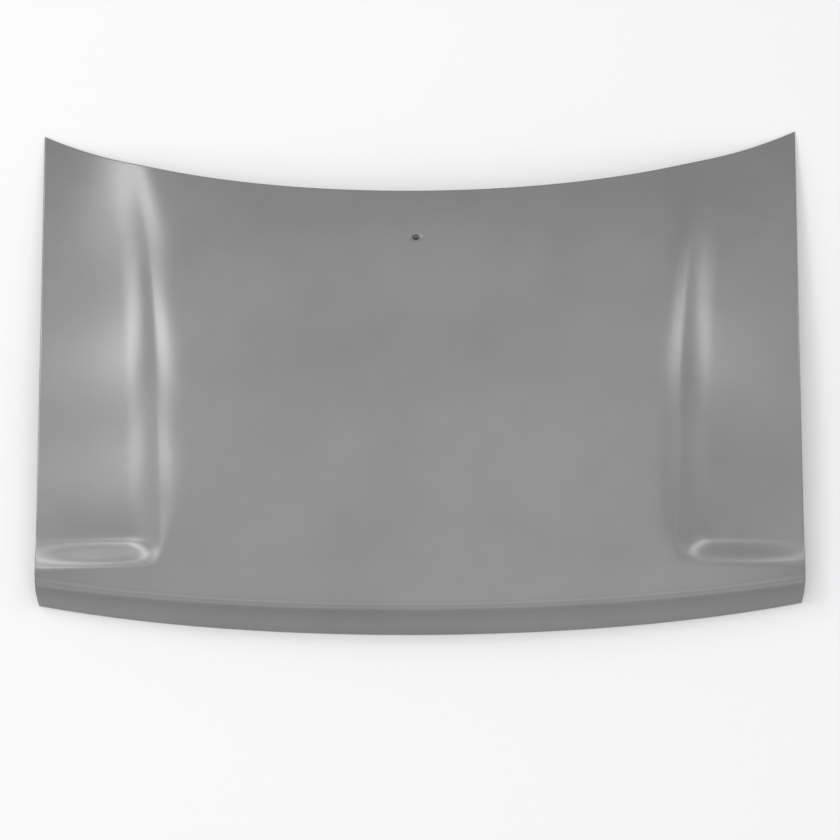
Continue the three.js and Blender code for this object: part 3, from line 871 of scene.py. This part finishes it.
@dataclass(frozen=True)
class PressedRib:
    """A channel pressed down into the frame along a straight line in plan."""

    start: Vector
    end: Vector
    depth: float = 18.0
    floor_half: float = 13.0
    draft: float = 0.6
    foot: float = 2.5
    margin: float = 6.0
    line_places: tuple[float, ...] = (0.0, 10.5, 12.0, 13.5, 15.5, 17.5, 19.5, 21.0, 22.5, 24.5)

    def from_axis(self, x: float, y: float) -> tuple[float, Vector]:
        """Returns how far a place lies from the rib's axis, and the nearest point of the axis."""
        run = self.end - self.start
        share = clamp((Vector((x, y)) - self.start).dot(run) / run.length_squared, 0.0, 1.0)
        nearest = self.start + run * share
        return (Vector((x, y)) - nearest).length, nearest

    def height(self, x: float, y: float) -> float:
        """Returns the height of the rib's floor and side walls at a place in plan."""
        away, nearest = self.from_axis(x, y)
        floor = SHAPE.height(nearest.x, nearest.y) - self.depth
        return floor + soft_positive(away - self.floor_half, self.foot) / self.draft

    def cut_lines(self) -> list[tuple[Vector, Vector]]:
        """Returns a point and a direction across, for each extra grid line along the rib."""
        run = (self.end - self.start).normalized()
        across = Vector((run.y, -run.x))
        places = {sign * place for place in self.line_places for sign in (-1.0, 1.0)}
        return [(self.start + across * place, across) for place in sorted(places)]

    def covers(self, x: float, y: float) -> bool:
        """Tells if a place lies on the rib or close beside it."""
        return self.from_axis(x, y)[0] < self.line_places[-1] + self.margin


@dataclass
class InnerFrame:
    """The pressed inner frame: hem flange, box rails, ribs, pads, lightening holes and drain holes."""

    finish: Material
    shift: Vector
    flange_width: float = 13.0
    rail_wall_foot: float = 24.0
    rail_floor_end: float = 60.0
    rail_width: float = 72.0
    rail_depth: float = 20.0
    front_rail_depth: float = 22.0
    shoulder_depth: float = 4.5
    shoulder_band: float = 24.0
    floor_clearance: float = 2.7
    shelf_start: float = 22.0
    shelf_height: float = 18.0
    shelf_end: float = 58.0
    front_aperture_setback: float = 27.0
    side_aperture_setback: float = 54.0
    pad_shoulder: float = 40.0
    aperture_radius: float = 30.0
    rear_corner_shares: tuple[float, ...] = (1.0, 0.6, 0.2)
    nose_shares: tuple[float, ...] = (0.3, 0.7)
    press_setback: float = 36.5
    bend_reach: float = 2.4
    press_reach: float = 2.5
    hinge_pad_draft: float = 0.3
    latch_pad_draft: float = 0.45
    drain_share: float = 0.305
    drain_diameter: float = 14.0
    hole_diameter: float = 16.0
    side_hole_shares: tuple[float, ...] = (0.16, 0.54, 0.69)
    rear_hole_shares: tuple[float, ...] = (0.185, 0.51)
    cut_from: float = -40.0
    cut_to: float = 160.0
    field_rows: int = 56
    cell: float = 13.0
    edge_places: tuple[float, ...] = (
        0.3, 6.0, 10.6, 11.8, 13.0, 14.2, 15.4, 18.5, 21.6, 22.8, 24.0, 25.2, 26.4, 34.0, 42.0, 50.0,
        57.6, 58.8, 60.0, 61.2, 62.4, 66.0, 69.6, 70.8, 72.0, 73.2, 74.4, 84.0,
    )

    @property
    def flange_depth(self) -> float:
        """Depth of the flange below the outer face."""
        return SHAPE.skin_thickness + SHAPE.hem_clearance

    def pads(self) -> list[PressedPad]:
        """Returns the two hinge pads and the latch pad."""
        hinge, floor = SHAPE.hinge_place, SHAPE.frame_thickness
        size = SHAPE.hinge_pad_half_width, SHAPE.hinge_pad_half_length
        places = Vector((-hinge.x, hinge.y)), hinge
        latch_size = SHAPE.latch_pad_width / 2, SHAPE.latch_pad_half_length
        latch_floor = SHAPE.latch_pad_height + floor
        return [
            *(PressedPad(place, *size, floor, self.hinge_pad_draft) for place in places),
            PressedPad(SHAPE.latch_place, *latch_size, latch_floor, self.latch_pad_draft),
        ]

    def ribs(self) -> list[PressedRib]:
        """Returns the two diagonal ribs and the cross rib."""
        front, rear = SHAPE.diagonal_ends
        y = SHAPE.cross_rib_y
        reach = SHAPE.half_width(y) - (self.rail_wall_foot + self.rail_floor_end) / 2
        return [
            PressedRib(front, rear),
            PressedRib(Vector((-front.x, front.y)), Vector((-rear.x, rear.y))),
            PressedRib(Vector((-reach, y)), Vector((reach, y))),
        ]

    def edge_depth(self, inset: float) -> float:
        """Returns the depth below the outer face at a distance from the sheet's side or rear edge."""
        knots = (
            (0.0, self.flange_depth), (self.flange_width, self.flange_depth),
            (self.rail_wall_foot, self.rail_depth), (self.rail_floor_end, self.rail_depth),
            (self.rail_width, self.shoulder_depth),
        )
        return soft_line(inset, knots, self.bend_reach)

    def field_point(self, x: float, y: float, inset: float) -> Vector:
        """Returns the upper face behind the bend line, at a distance from the nearest edge."""
        height = SHAPE.height(x, y) - self.edge_depth(inset)
        return Vector((x, y, max(height, self.floor_clearance)))

    def under_skin(self, point_at: Callable[[float], Vector], place: float) -> Vector:
        """Returns the flange under a line of the skin.

        Args:
            point_at: The skin's point at a place on the line.
            place: The place.

        Returns:
            The point, the flange's depth inside the skin.
        """
        step = 0.01
        along = point_at(place + step) - point_at(place - step)
        inward = Vector((0.0, along.z, -along.y)).normalized()
        return point_at(place) + inward * self.flange_depth

    def nose_corners(self, x: float, inset: float) -> list[Vector]:
        """Returns the bends of the sheet from the hem of the nose to the bend line.

        Args:
            x: Distance across the car.
            inset: Distance from the nearest side edge.

        Returns:
            The corners, from the hem backwards.
        """
        front = SHAPE.front_edge_y(x)
        apron_y = lerp(front + SHAPE.nose_reach, SHAPE.y_bend, 0.5)

        def nose(t: float) -> Vector:
            return SHAPE.nose_point(x, t)

        def body(y: float, depth: float) -> Vector:
            return Vector((x, y, SHAPE.body_height(x, y) - depth))

        probe = 0.2
        face = (nose(probe) - nose(0.0)).length / probe
        flange = [self.under_skin(nose, d / face) for d in (self.edge_places[0], self.flange_width)]
        covered = [self.under_skin(nose, t) for t in self.nose_shares] + [body(apron_y, self.flange_depth)]
        floor_y = lerp(front + self.shelf_start, front + self.shelf_end, 0.5)
        inner = [
            Vector((x, front + self.shelf_start, self.shelf_height)),
            body(floor_y, self.front_rail_depth), body(apron_y, self.front_rail_depth),
        ]
        share = soft_line(inset, ((self.flange_width, 0.0), (self.rail_wall_foot, 1.0)), self.bend_reach)
        return flange + [a.lerp(b, share) for a, b in zip(covered, inner)]

    def row_line(self, x_at: Callable[[float], float], inset: float) -> list[Vector]:
        """Returns one grid line of the upper face, from the nose to the rear edge.

        Args:
            x_at: The line's place across the car at a place along it.
            inset: Its distance from the nearest side edge.

        Returns:
            The line's points in the drawing's millimetres.
        """
        x = x_at(SHAPE.y_bend)
        start = SHAPE.y_bend
        second = start + self.cell
        corners = self.nose_corners(x, inset)
        corners = [Vector((x_at(p.y), p.y, p.z)) for p in corners]
        corners += [self.field_point(x_at(y), y, inset) for y in (start, second)]
        line = rounded(corners)
        rear = SHAPE.rear_edge_y(x_at(SHAPE.rear_edge_y(x)))
        last = rear - self.edge_places[-1]
        places = [lerp(second, last, i / self.field_rows) for i in range(1, self.field_rows)]
        places += [rear - d for d in reversed(self.edge_places)]
        return line + [self.field_point(x_at(y), y, min(inset, rear - y)) for y in places]

    def upper_face(self) -> BMesh:
        """Returns the frame's upper face with its edge flanges and rails, before ribs and pads."""
        last = self.edge_places[-1]
        spans = round((SHAPE.half_width(SHAPE.y_bend) - last) / self.cell)
        half = len(self.edge_places) - 1 + spans
        lines = []
        for column in range(-half, half + 1):
            sign = 1.0 if column > 0 else -1.0
            share = min(abs(column) / spans, 1.0) * sign
            inset = self.edge_places[min(half - abs(column), len(self.edge_places) - 1)]
            lines.append(self.row_line(lambda y, s=share, d=inset: s * (SHAPE.half_width(y) - d), inset))
        bm = bmesh.new()
        rows = len(lines[0]) - 1
        bmesh.ops.create_grid(bm, x_segments=2 * half, y_segments=rows, size=1.0)
        for vert in bm.verts:
            vert.co = lines[round((vert.co.x + 1) * half)][round((vert.co.y + 1) / 2 * rows)]
        return bm

    def press(self, bm: BMesh) -> None:
        """Presses ribs and pads into the upper face, on extra grid lines that follow them.

        Args:
            bm: The upper face, which is changed.
        """
        forms = [*self.ribs(), *self.pads()]
        clear_of_flange = SHAPE.y_front + self.press_setback
        for form in forms:
            near = [f for f in bm.faces if form.covers(*f.calc_center_median().xy)]
            for point, across in form.cut_lines():
                near = [f for f in near if f.is_valid]
                edges = unique(e for f in near for e in f.edges)
                verts = unique(v for f in near for v in f.verts)
                geom = [*near, *edges, *verts]
                cut = bmesh.ops.bisect_plane(
                    bm, geom=geom, dist=0.05, plane_co=(*point, 0.0), plane_no=(*across, 0.0))
                near = unique(only(BMFace, cut["geom"]))
        for vert in bm.verts:
            if vert.co.y < clear_of_flange:
                continue
            for form in forms:
                if form.covers(vert.co.x, vert.co.y):
                    vert.co.z = soft_min(vert.co.z, form.height(vert.co.x, vert.co.y), self.press_reach)

    def apertures(self) -> list[list[Vector]]:
        """Returns the corners in plan of every lightening hole."""
        front, rear = SHAPE.diagonal_ends
        run = rear - front
        rib = PressedRib(front, rear)
        shoulder = rib.floor_half + rib.draft * (rib.depth - self.shoulder_depth) + self.shoulder_band
        edge = self.rail_width + self.shoulder_band

        def beside(y: float, sign: float) -> Vector:
            middle = front.x + (y - front.y) * run.x / run.y
            return Vector((middle + sign * shoulder * run.length / run.y, y))

        def at_rail(y: float) -> Vector:
            return Vector((SHAPE.half_width(y) - edge, y))

        def mirror(cell: list[Vector]) -> list[Vector]:
            return [Vector((-p.x, p.y)) for p in reversed(cell)]

        cross_front, cross_rear = SHAPE.cross_rib_y - shoulder, SHAPE.cross_rib_y + shoulder
        centre_front = SHAPE.y_bend + self.front_aperture_setback
        side_front = SHAPE.y_bend + self.side_aperture_setback
        side_rear = SHAPE.hinge_place.y - SHAPE.hinge_pad_half_length - self.pad_shoulder
        corner = rear.y - shoulder
        half = beside(corner, -1.0).x
        places = (share * half for share in self.rear_corner_shares)
        rear_line = [Vector((x, min(SHAPE.rear_edge_y(x) - edge, corner))) for x in places]
        half_rear = [beside(cross_rear, -1.0), *rear_line]
        tip = Vector((min(beside(side_rear, 1.0).x, at_rail(side_rear).x - 1.0), side_rear))
        half_front = [beside(centre_front, -1.0), beside(cross_front, -1.0)]
        side_cells = [
            [beside(side_front, 1.0), at_rail(side_front), at_rail(cross_front), beside(cross_front, 1.0)],
            [beside(cross_rear, 1.0), at_rail(cross_rear), at_rail(side_rear), tip],
        ]
        centre_cells = [half_rear + mirror(half_rear), half_front + mirror(half_front)]
        return centre_cells + side_cells + [mirror(cell) for cell in side_cells]

    def round_holes(self) -> list[tuple[Vector, float]]:
        """Returns the middle in plan and the diameter of every round hole."""
        hinge, latch, bolt = SHAPE.hinge_place, SHAPE.latch_place, SHAPE.bolt_hole
        along, across = SHAPE.hinge_bolt_reach, SHAPE.latch_bolt_reach
        holes = [(Vector((s * hinge.x, hinge.y + t * along)), bolt) for s in (-1, 1) for t in (-1, 1)]
        holes += [(latch + Vector((s * across, 0.0)), bolt) for s in (-1, 1)]
        rail = (self.rail_wall_foot + self.rail_floor_end) / 2
        front = SHAPE.y_front + SHAPE.front_sweep

        def on_rail(share: float) -> Vector:
            y = lerp(front, SHAPE.y_rear_corner, share)
            return Vector((SHAPE.half_width(y) - rail, y))

        def at_rear(share: float) -> Vector:
            x = share * SHAPE.half_rear
            return Vector((x, SHAPE.rear_edge_y(x) - rail))

        holes.append((on_rail(self.drain_share), self.drain_diameter))
        places = [*map(on_rail, self.side_hole_shares), *map(at_rear, self.rear_hole_shares)]
        for side in (-1.0, 1.0):
            holes += [(Vector((side * place.x, place.y)), self.hole_diameter) for place in places]
        return holes

    def cutters(self) -> BMesh:
        """Returns upright prisms for the lightening holes and cylinders for the round ones."""
        bm = bmesh.new()
        low, high = self.cut_from, self.cut_to
        for cell in self.apertures():
            floor = [bm.verts.new((*p, low)) for p in cell]
            face = bm.faces.new(floor)
            top = only(BMVert, bmesh.ops.extrude_face_region(bm, geom=[face])["geom"])
            bmesh.ops.translate(bm, verts=top, vec=(0.0, 0.0, high - low))
            uprights = unique(e for v in floor + top for e in v.link_edges if rise(e) > 1.0)
            soften(bm, uprights, self.aperture_radius, segments=8, held=True)
        for middle, diameter in self.round_holes():
            drill(bm, (*middle, (low + high) / 2), diameter, high - low)
        bmesh.ops.recalc_face_normals(bm, faces=bm.faces)
        return bm

    def build(self) -> Object:
        """Returns the finished frame."""
        bm = self.upper_face()
        self.press(bm)
        for each in (bm, tools := self.cutters()):
            to_frame(each, self.shift)
        piece = sheet_of("inner_frame_sheet", bm, SHAPE.frame_thickness)
        cut_holes(piece, tools)
        return stand_for(piece, "inner_frame", self.finish)


# Plates, fasteners, striker and mastic


def box_span(node: str) -> tuple[Vector, Vector]:
    """Returns the middle and the size in metres of a CAD node's box."""
    low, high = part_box(node)
    return (low + high) / 2, high - low


def ring_of(bm: BMesh, middle: Vector, radius: float, height: float, sides: int) -> list[BMEdge]:
    """Adds a level ring of edges.

    Args:
        bm: The mesh.
        middle: Middle of the ring, whose own height isn't used.
        radius: Distance of its corners from the middle.
        height: The ring's height.
        sides: Number of its sides.

    Returns:
        The ring's edges.
    """
    place = Matrix.Translation((middle.x, middle.y, height))
    made = bmesh.ops.create_circle(bm, cap_ends=False, segments=sides, radius=radius, matrix=place)["verts"]
    return unique(e for v in made for e in v.link_edges)


def turned_body(
    bm: BMesh, middle: Vector, profile: list[tuple[float, float]], sides: int = ROUND_SIDES,
) -> None:
    """Adds a turned body: rings of the profile, each joined to the next, the first and last ones capped.

    Args:
        bm: The mesh.
        middle: Middle of the rings.
        profile: Radius and height of each ring.
        sides: Number of sides.
    """
    rings = [ring_of(bm, middle, radius, height, sides) for radius, height in profile]
    for ring, after in zip(rings, rings[1:]):
        bmesh.ops.bridge_loops(bm, edges=ring + after)
    for ring in (rings[0], rings[-1]):
        bmesh.ops.edgeloop_fill(bm, edges=ring)


@dataclass
class DrilledPlate:
    """A stamped reinforcement plate with rounded corners and softened edges.

    Its bolt holes are given as a place along its longer side and a diameter, in mm.
    """

    node: str
    slot: Slot
    finish: Material
    holes: list[tuple[float, float]]
    corner: float = 5.0 * MM
    edge: float = 0.4 * MM

    def build(self) -> Object:
        """Returns the finished plate."""
        middle, size = box_span(self.node)
        bm = bmesh.new()
        bmesh.ops.create_cube(bm, size=1.0, matrix=Matrix.Translation(middle) @ Matrix.Diagonal((*size, 1.0)))
        soften(bm, [e for e in bm.edges if rise(e) > size.z / 2], self.corner, segments=6)
        rims = [e for e in bm.edges if e.calc_face_angle(0.0) > math.radians(60.0)]
        soften(bm, rims, self.edge, segments=2)
        tools = bmesh.new()
        longer = Vector((0.0, MM, 0.0)) if size.y > size.x else Vector((MM, 0.0, 0.0))
        for place, diameter in self.holes:
            drill(tools, middle + longer * place, diameter * MM, 4 * size.z)
        piece = new_piece(f"{self.node}_stamped", bm)
        cut_holes(piece, tools)
        return stand_for(piece, self.node, self.finish)


@dataclass
class HexNut:
    """An M8 nut with chamfered corners and a countersunk bore."""

    node: str
    finish: Material
    across_flats: float = 13.0 * MM
    bore: float = 8.6 * MM
    sink: float = 0.5 * MM

    def build(self) -> Object:
        """Returns the finished nut: a hexagon between two cones, and its bore."""
        middle, size = box_span(self.node)
        piece = new_piece(f"{self.node}_hex", hex_body(middle, size.z, self.across_flats), sharp=20.0)
        low, high = middle.z - size.z / 2, middle.z + size.z / 2
        narrow, wide = self.bore / 2, self.bore / 2 + 2 * self.sink
        tools = bmesh.new()
        turned_body(tools, middle, [
            (wide, low - self.sink), (narrow, low + self.sink),
            (narrow, high - self.sink), (wide, high + self.sink),
        ])
        cut_holes(piece, tools)
        return stand_for(piece, self.node, self.finish)


def hex_body(
    middle: Vector, height: float, across_flats: float, inset: float = 0.1 * MM, cuts: int = 24,
) -> BMesh:
    """Makes a hexagon whose corners are turned off by a cone at both ends.

    Args:
        middle: Its middle.
        height: Its height.
        across_flats: Its width.
        inset: How far inside the flats the cone meets the ends.
        cuts: Number of flat cuts that make each cone.

    Returns:
        The mesh in metres.
    """
    bm = bmesh.new()
    slope = math.radians(30.0)
    corner = across_flats / 2 / math.cos(slope)
    low, high = middle.z - height / 2, middle.z + height / 2
    turned_body(bm, middle, [(corner, low), (corner, high)], 6)
    for end, sign in ((low, -1.0), (high, 1.0)):
        for i in range(cuts):
            a = 2 * math.pi * (i + 0.5) / cuts
            out = Vector((math.cos(a), math.sin(a), 0.0))
            flat = Vector((middle.x, middle.y, end)) + out * (across_flats / 2 - inset)
            normal = (out * math.tan(slope) + Vector((0.0, 0.0, sign))).normalized()
            geom = [*bm.verts, *bm.edges, *bm.faces]
            cut = bmesh.ops.bisect_plane(
                bm, geom=geom, dist=1e-7, plane_co=flat, plane_no=normal, clear_outer=True)
            edges = only(BMEdge, cut["geom_cut"])
            if edges:
                bmesh.ops.edgeloop_fill(bm, edges=edges)
    bmesh.ops.recalc_face_normals(bm, faces=bm.faces)
    return bm


@dataclass
class StrikerBolt:
    """An M8 bolt: hexagon head, shank and a chamfered end."""

    node: str
    finish: Material
    across_flats: float = 13.0 * MM
    head: float = 5.5 * MM
    shank: float = 8.0 * MM
    chamfer: float = 0.8 * MM

    def build(self) -> Object:
        """Returns the finished bolt."""
        middle, size = box_span(self.node)
        low, high = middle.z - size.z / 2, middle.z + size.z / 2
        head_middle = Vector((middle.x, middle.y, low + self.head / 2))
        bm = hex_body(head_middle, self.head, self.across_flats)
        radius = self.shank / 2
        turned_body(bm, middle, [
            (radius, low + self.head / 2), (radius, high - self.chamfer), (radius - self.chamfer, high),
        ])
        bmesh.ops.recalc_face_normals(bm, faces=bm.faces)
        return stand_for(new_piece(f"{self.node}_hex", bm, sharp=20.0), self.node, self.finish)


@dataclass
class StrikerLoop:
    """The striker: a round rod bent to a U, whose bar the lock takes."""

    finish: Material
    node: str = "striker_loop"
    rod: float = 8.0 * MM
    bend: float = 10.0 * MM
    sides: int = 24
    bend_steps: int = 10

    def build(self) -> Object:
        """Returns the finished loop, swept ring by ring: down one leg, across and up the other."""
        middle, size = box_span(self.node)
        half = size.x / 2 - self.rod / 2
        top, bar = middle.z + size.z / 2, middle.z - size.z / 2 + self.rod / 2
        bm = bmesh.new()
        start = Matrix.Translation((middle.x - half, middle.y, top))
        verts = bmesh.ops.create_circle(
            bm, cap_ends=True, segments=self.sides, radius=self.rod / 2, matrix=start)["verts"]
        edges = unique(e for v in verts for e in v.link_edges)

        def onward(step: Vector) -> None:
            nonlocal edges, verts
            new = bmesh.ops.extrude_edge_only(bm, edges=edges)["geom"]
            verts = only(BMVert, new)
            fresh = set(verts)
            edges = [e for e in only(BMEdge, new) if all(v in fresh for v in e.verts)]
            bmesh.ops.translate(bm, verts=verts, vec=step)

        def turn(pivot: Vector) -> None:
            for _ in range(self.bend_steps):
                onward(Vector())
                spin = Matrix.Rotation(-math.pi / 2 / self.bend_steps, 3, "Y")
                bmesh.ops.rotate(bm, verts=verts, cent=pivot, matrix=spin)

        drop = top - bar - self.bend
        onward(Vector((0.0, 0.0, -drop)))
        turn(Vector((middle.x - half + self.bend, middle.y, bar + self.bend)))
        onward(Vector((2 * (half - self.bend), 0.0, 0.0)))
        turn(Vector((middle.x + half - self.bend, middle.y, bar + self.bend)))
        onward(Vector((0.0, 0.0, drop)))
        bmesh.ops.edgeloop_fill(bm, edges=edges)
        bmesh.ops.recalc_face_normals(bm, faces=bm.faces)
        return stand_for(new_piece("striker_loop_rod", bm, sharp=50.0), self.node, self.finish)


def cut_holes(piece: Object, tools: BMesh) -> None:
    """Cuts the tools out of a piece, for good.

    Args:
        piece: The piece, whose own modifiers are settled as well.
        tools: Closed bodies, which are freed.
    """
    bmesh.ops.recalc_face_normals(tools, faces=tools.faces)
    cutter = new_piece("hole_cutters", tools)
    holes = piece.modifiers.new("holes", "BOOLEAN")
    holes.object = cutter
    holes.operation = "DIFFERENCE"
    holes.solver = "MANIFOLD"
    settle(piece)
    bpy.data.objects.remove(cutter)
    piece.data.set_sharp_from_angle(angle=math.radians(SHARP_DEGREES))


def mastic_dab(node: str, finish: Material) -> Object:
    """Makes one dab of mastic: the CAD's turned body, its rim rounded and its outline slumped.

    Args:
        node: The node's name.
        finish: The mastic.

    Returns:
        The finished dab.
    """
    bm = bmesh.new()
    bm.from_mesh(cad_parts[node].data)
    bmesh.ops.remove_doubles(bm, verts=bm.verts, dist=0.01 * MM)
    bmesh.ops.dissolve_limit(bm, angle_limit=math.radians(2.0), verts=bm.verts, edges=bm.edges)
    piece = new_piece(f"{node}_soft", bm, sharp=180.0)
    smoothing = piece.modifiers.new("slumped", "SUBSURF")
    smoothing.levels = smoothing.render_levels = 2
    return stand_for(piece, node, finish)


# Camera, light and floor


@dataclass(frozen=True)
class PhotoCamera:
    """The viewpoint of the photograph, as fitted to the panel's outline."""

    azimuth: float = 2.574
    elevation: float = 72.0
    roll: float = -2.773
    distance_mm: float = 4000.0
    target_mm: tuple[float, float, float] = (0.0, 0.0, 40.0)
    focal_pixels: float = 2225.1
    axis_pixels: tuple[float, float] = (418.97, 369.0)

    def build(self) -> Object:
        """Returns the camera, set as the scene's."""
        az, el, roll = (math.radians(a) for a in (self.azimuth, self.elevation, self.roll))
        back = Vector((math.sin(az) * math.cos(el), -math.cos(az) * math.cos(el), math.sin(el)))
        right = Vector((math.cos(az), math.sin(az), 0.0))
        up = back.cross(right)
        turned_right = right * math.cos(roll) + up * math.sin(roll)
        turned_up = up * math.cos(roll) - right * math.sin(roll)
        data = bpy.data.cameras.new("photo_camera")
        data.sensor_width = SENSOR_MM
        data.lens = self.focal_pixels / IMAGE_PIXELS * SENSOR_MM
        data.shift_x = 0.5 - self.axis_pixels[0] / IMAGE_PIXELS
        data.shift_y = self.axis_pixels[1] / IMAGE_PIXELS - 0.5
        data.clip_end = 50.0
        camera = new_object("photo_camera", data)
        turn = Matrix((turned_right, turned_up, back)).transposed().to_4x4()
        place = (Vector(self.target_mm) + back * self.distance_mm) * MM
        camera.matrix_world = Matrix.Translation(place) @ turn
        bpy.context.scene.camera = camera
        return camera


@dataclass(frozen=True)
class SoftBox:
    """One studio lamp with a rectangular face, aimed at the panel."""

    name: str
    toward: tuple[float, float, float]
    distance: float
    width: float
    height: float
    radiance: float

    def build(self) -> Object:
        """Returns the lamp."""
        data = bpy.data.lights.new(self.name, "AREA")
        data.shape = "RECTANGLE"
        data.size, data.size_y = self.width, self.height
        data.energy = self.radiance * math.pi * self.width * self.height
        lamp = new_object(self.name, data)
        toward = Vector(self.toward).normalized()
        lamp.location = toward * self.distance
        lamp.rotation_euler = toward.to_track_quat("Z", "Y").to_euler()
        return lamp


@dataclass(frozen=True)
class Studio:
    """Pale floor, even room light and the lamps."""

    floor_colour: str = "fafafa"
    room_strength: float = 0.53
    floor_half_size: float = 14.0
    lamp_distance: float = 6.0
    strip_size: tuple[float, float] = (0.54, 1.26)

    def floor(self) -> Object:
        """Returns the floor, with its top at the height that the bonnet lies on."""
        bm = bmesh.new()
        bmesh.ops.create_grid(bm, x_segments=1, y_segments=1, size=self.floor_half_size)
        piece = new_piece("studio_floor", bm)
        material, tree, shader = new_material("matt_white_floor")
        feed(tree, shader, {
            "Base Color": linear(self.floor_colour), "Roughness": 0.9, "Specular IOR Level": 0.1,
        })
        piece.data.materials.append(material)
        return piece

    def room(self) -> None:
        """Sets the even light of the room, which the camera and mirror-like faces see as white."""
        world = bpy.data.worlds.new("studio_room")
        bpy.context.scene.world = world
        world.use_nodes = True
        tree = world.node_tree
        tree.nodes.clear()
        path = add(tree, "ShaderNodeLightPath")
        seen = path.outputs["Is Camera Ray"]
        for kind in ("Is Glossy Ray", "Is Transmission Ray"):
            total = add(tree, "ShaderNodeMath", {0: seen, 1: path.outputs[kind]}, operation="ADD")
            seen = total.outputs["Value"]
        strength = add(tree, "ShaderNodeMapRange", {
            "Value": seen, "To Min": self.room_strength, "To Max": 1.0,
        })
        light = add(tree, "ShaderNodeBackground", {"Strength": strength.outputs["Result"]})
        add(tree, "ShaderNodeOutputWorld", {"Surface": light.outputs["Background"]})

    def lamps(self) -> list[SoftBox]:
        """Returns the lamps: dim banks above and around, and short bright strips at both sides."""
        banks = (
            ("bank_front_low", 0.0, -0.8, 7.8, 1.8, 0.9), ("bank_front_high", 0.0, -0.5, 6.6, 1.8, 1.25),
            ("bank_over", 0.0, -0.15, 5.4, 2.1, 1.05), ("bank_ceiling", 0.0, 0.2, 4.2, 2.1, 0.95),
            ("bank_behind", 0.0, 0.5, 4.2, 1.5, 0.7), ("bank_left", -0.8, 0.2, 1.5, 5.4, 1.4),
            ("bank_right", 0.8, 0.2, 1.5, 5.4, 0.27),
        )
        strips = (
            (-0.5, 0.2, 5.0), (-0.5, 0.4, 8.5), (-0.5, 0.6, 6.5), (-0.42, 0.2, 2.4), (-0.42, 0.4, 4.0),
            (-0.42, 0.6, 3.6), (0.5, 0.2, 1.0), (0.5, 0.4, 5.5), (0.42, 0.4, 2.2),
        )
        width, height = self.strip_size
        rows = list(banks)
        for number, (x, y, radiance) in enumerate(strips, 1):
            rows.append((f"strip_{number:02d}", x, y, width, height, radiance))
        return [
            SoftBox(name, (x, y, math.sqrt(1 - x * x - y * y)), self.lamp_distance, wide, long, radiance)
            for name, x, y, wide, long, radiance in rows
        ]

    def build(self) -> None:
        """Builds the floor, the room light and every lamp."""
        bpy.context.scene.view_settings.view_transform = "Standard"
        self.floor()
        self.room()
        for lamp in self.lamps():
            lamp.build()


def fasten(finishes: dict[Slot, Material]) -> None:
    """Builds the plates, the fasteners, the striker and the mastic dabs.

    Args:
        finishes: The material of each slot.
    """
    hinge_holes, latch_holes, leg_holes = (
        [(-reach, diameter), (reach, diameter)] for reach, diameter in (
            (SHAPE.hinge_bolt_reach, SHAPE.bolt_hole), (SHAPE.latch_bolt_reach, SHAPE.bolt_hole),
            (SHAPE.striker_leg_reach, SHAPE.leg_hole),
        )
    )
    plate, zinc = finishes[Slot.PLATE], finishes[Slot.ZINC]
    for side in ("left", "right"):
        DrilledPlate(f"hinge_plate_{side}", Slot.PLATE, plate, hinge_holes).build()
        for end in ("front", "rear"):
            HexNut(f"hinge_nut_{side}_{end}", zinc).build()
        StrikerBolt(f"striker_bolt_{side}", zinc).build()
        HexNut(f"striker_nut_{side}", zinc).build()
    DrilledPlate("latch_plate", Slot.PLATE, plate, latch_holes).build()
    DrilledPlate("striker_plate", Slot.ZINC, zinc, latch_holes + leg_holes).build()
    StrikerLoop(zinc).build()
    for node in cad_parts:
        if node.startswith("mastic_dab"):
            mastic_dab(node, finishes[Slot.MASTIC])


def main() -> None:
    """Builds the studio, then every piece in order."""
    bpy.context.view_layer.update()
    PhotoCamera().build()
    Studio().build()
    finishes = {
        Slot.SKIN: SatinPrimer("satin_grey_primer").build(),
        Slot.FRAME: SatinPrimer("dull_dip_primer", colour="7c7c7c", pale="868686", roughness=0.55).build(),
        Slot.PLATE: SatinPrimer("plate_dip_primer", colour="747474", pale="7d7d7d", roughness=0.55).build(),
        Slot.ZINC: ZincPlate("bright_zinc_plating").build(),
        Slot.MASTIC: SoftMastic("anti_flutter_mastic").build(),
    }
    shift = drawing_shift()
    log.info("drawing shift %s", tuple(round(v, 3) for v in shift))
    OuterSkin(finishes[Slot.SKIN], shift).build()
    InnerFrame(finishes[Slot.FRAME], shift).build()
    fasten(finishes)


if __name__ == "__main__":
    main()
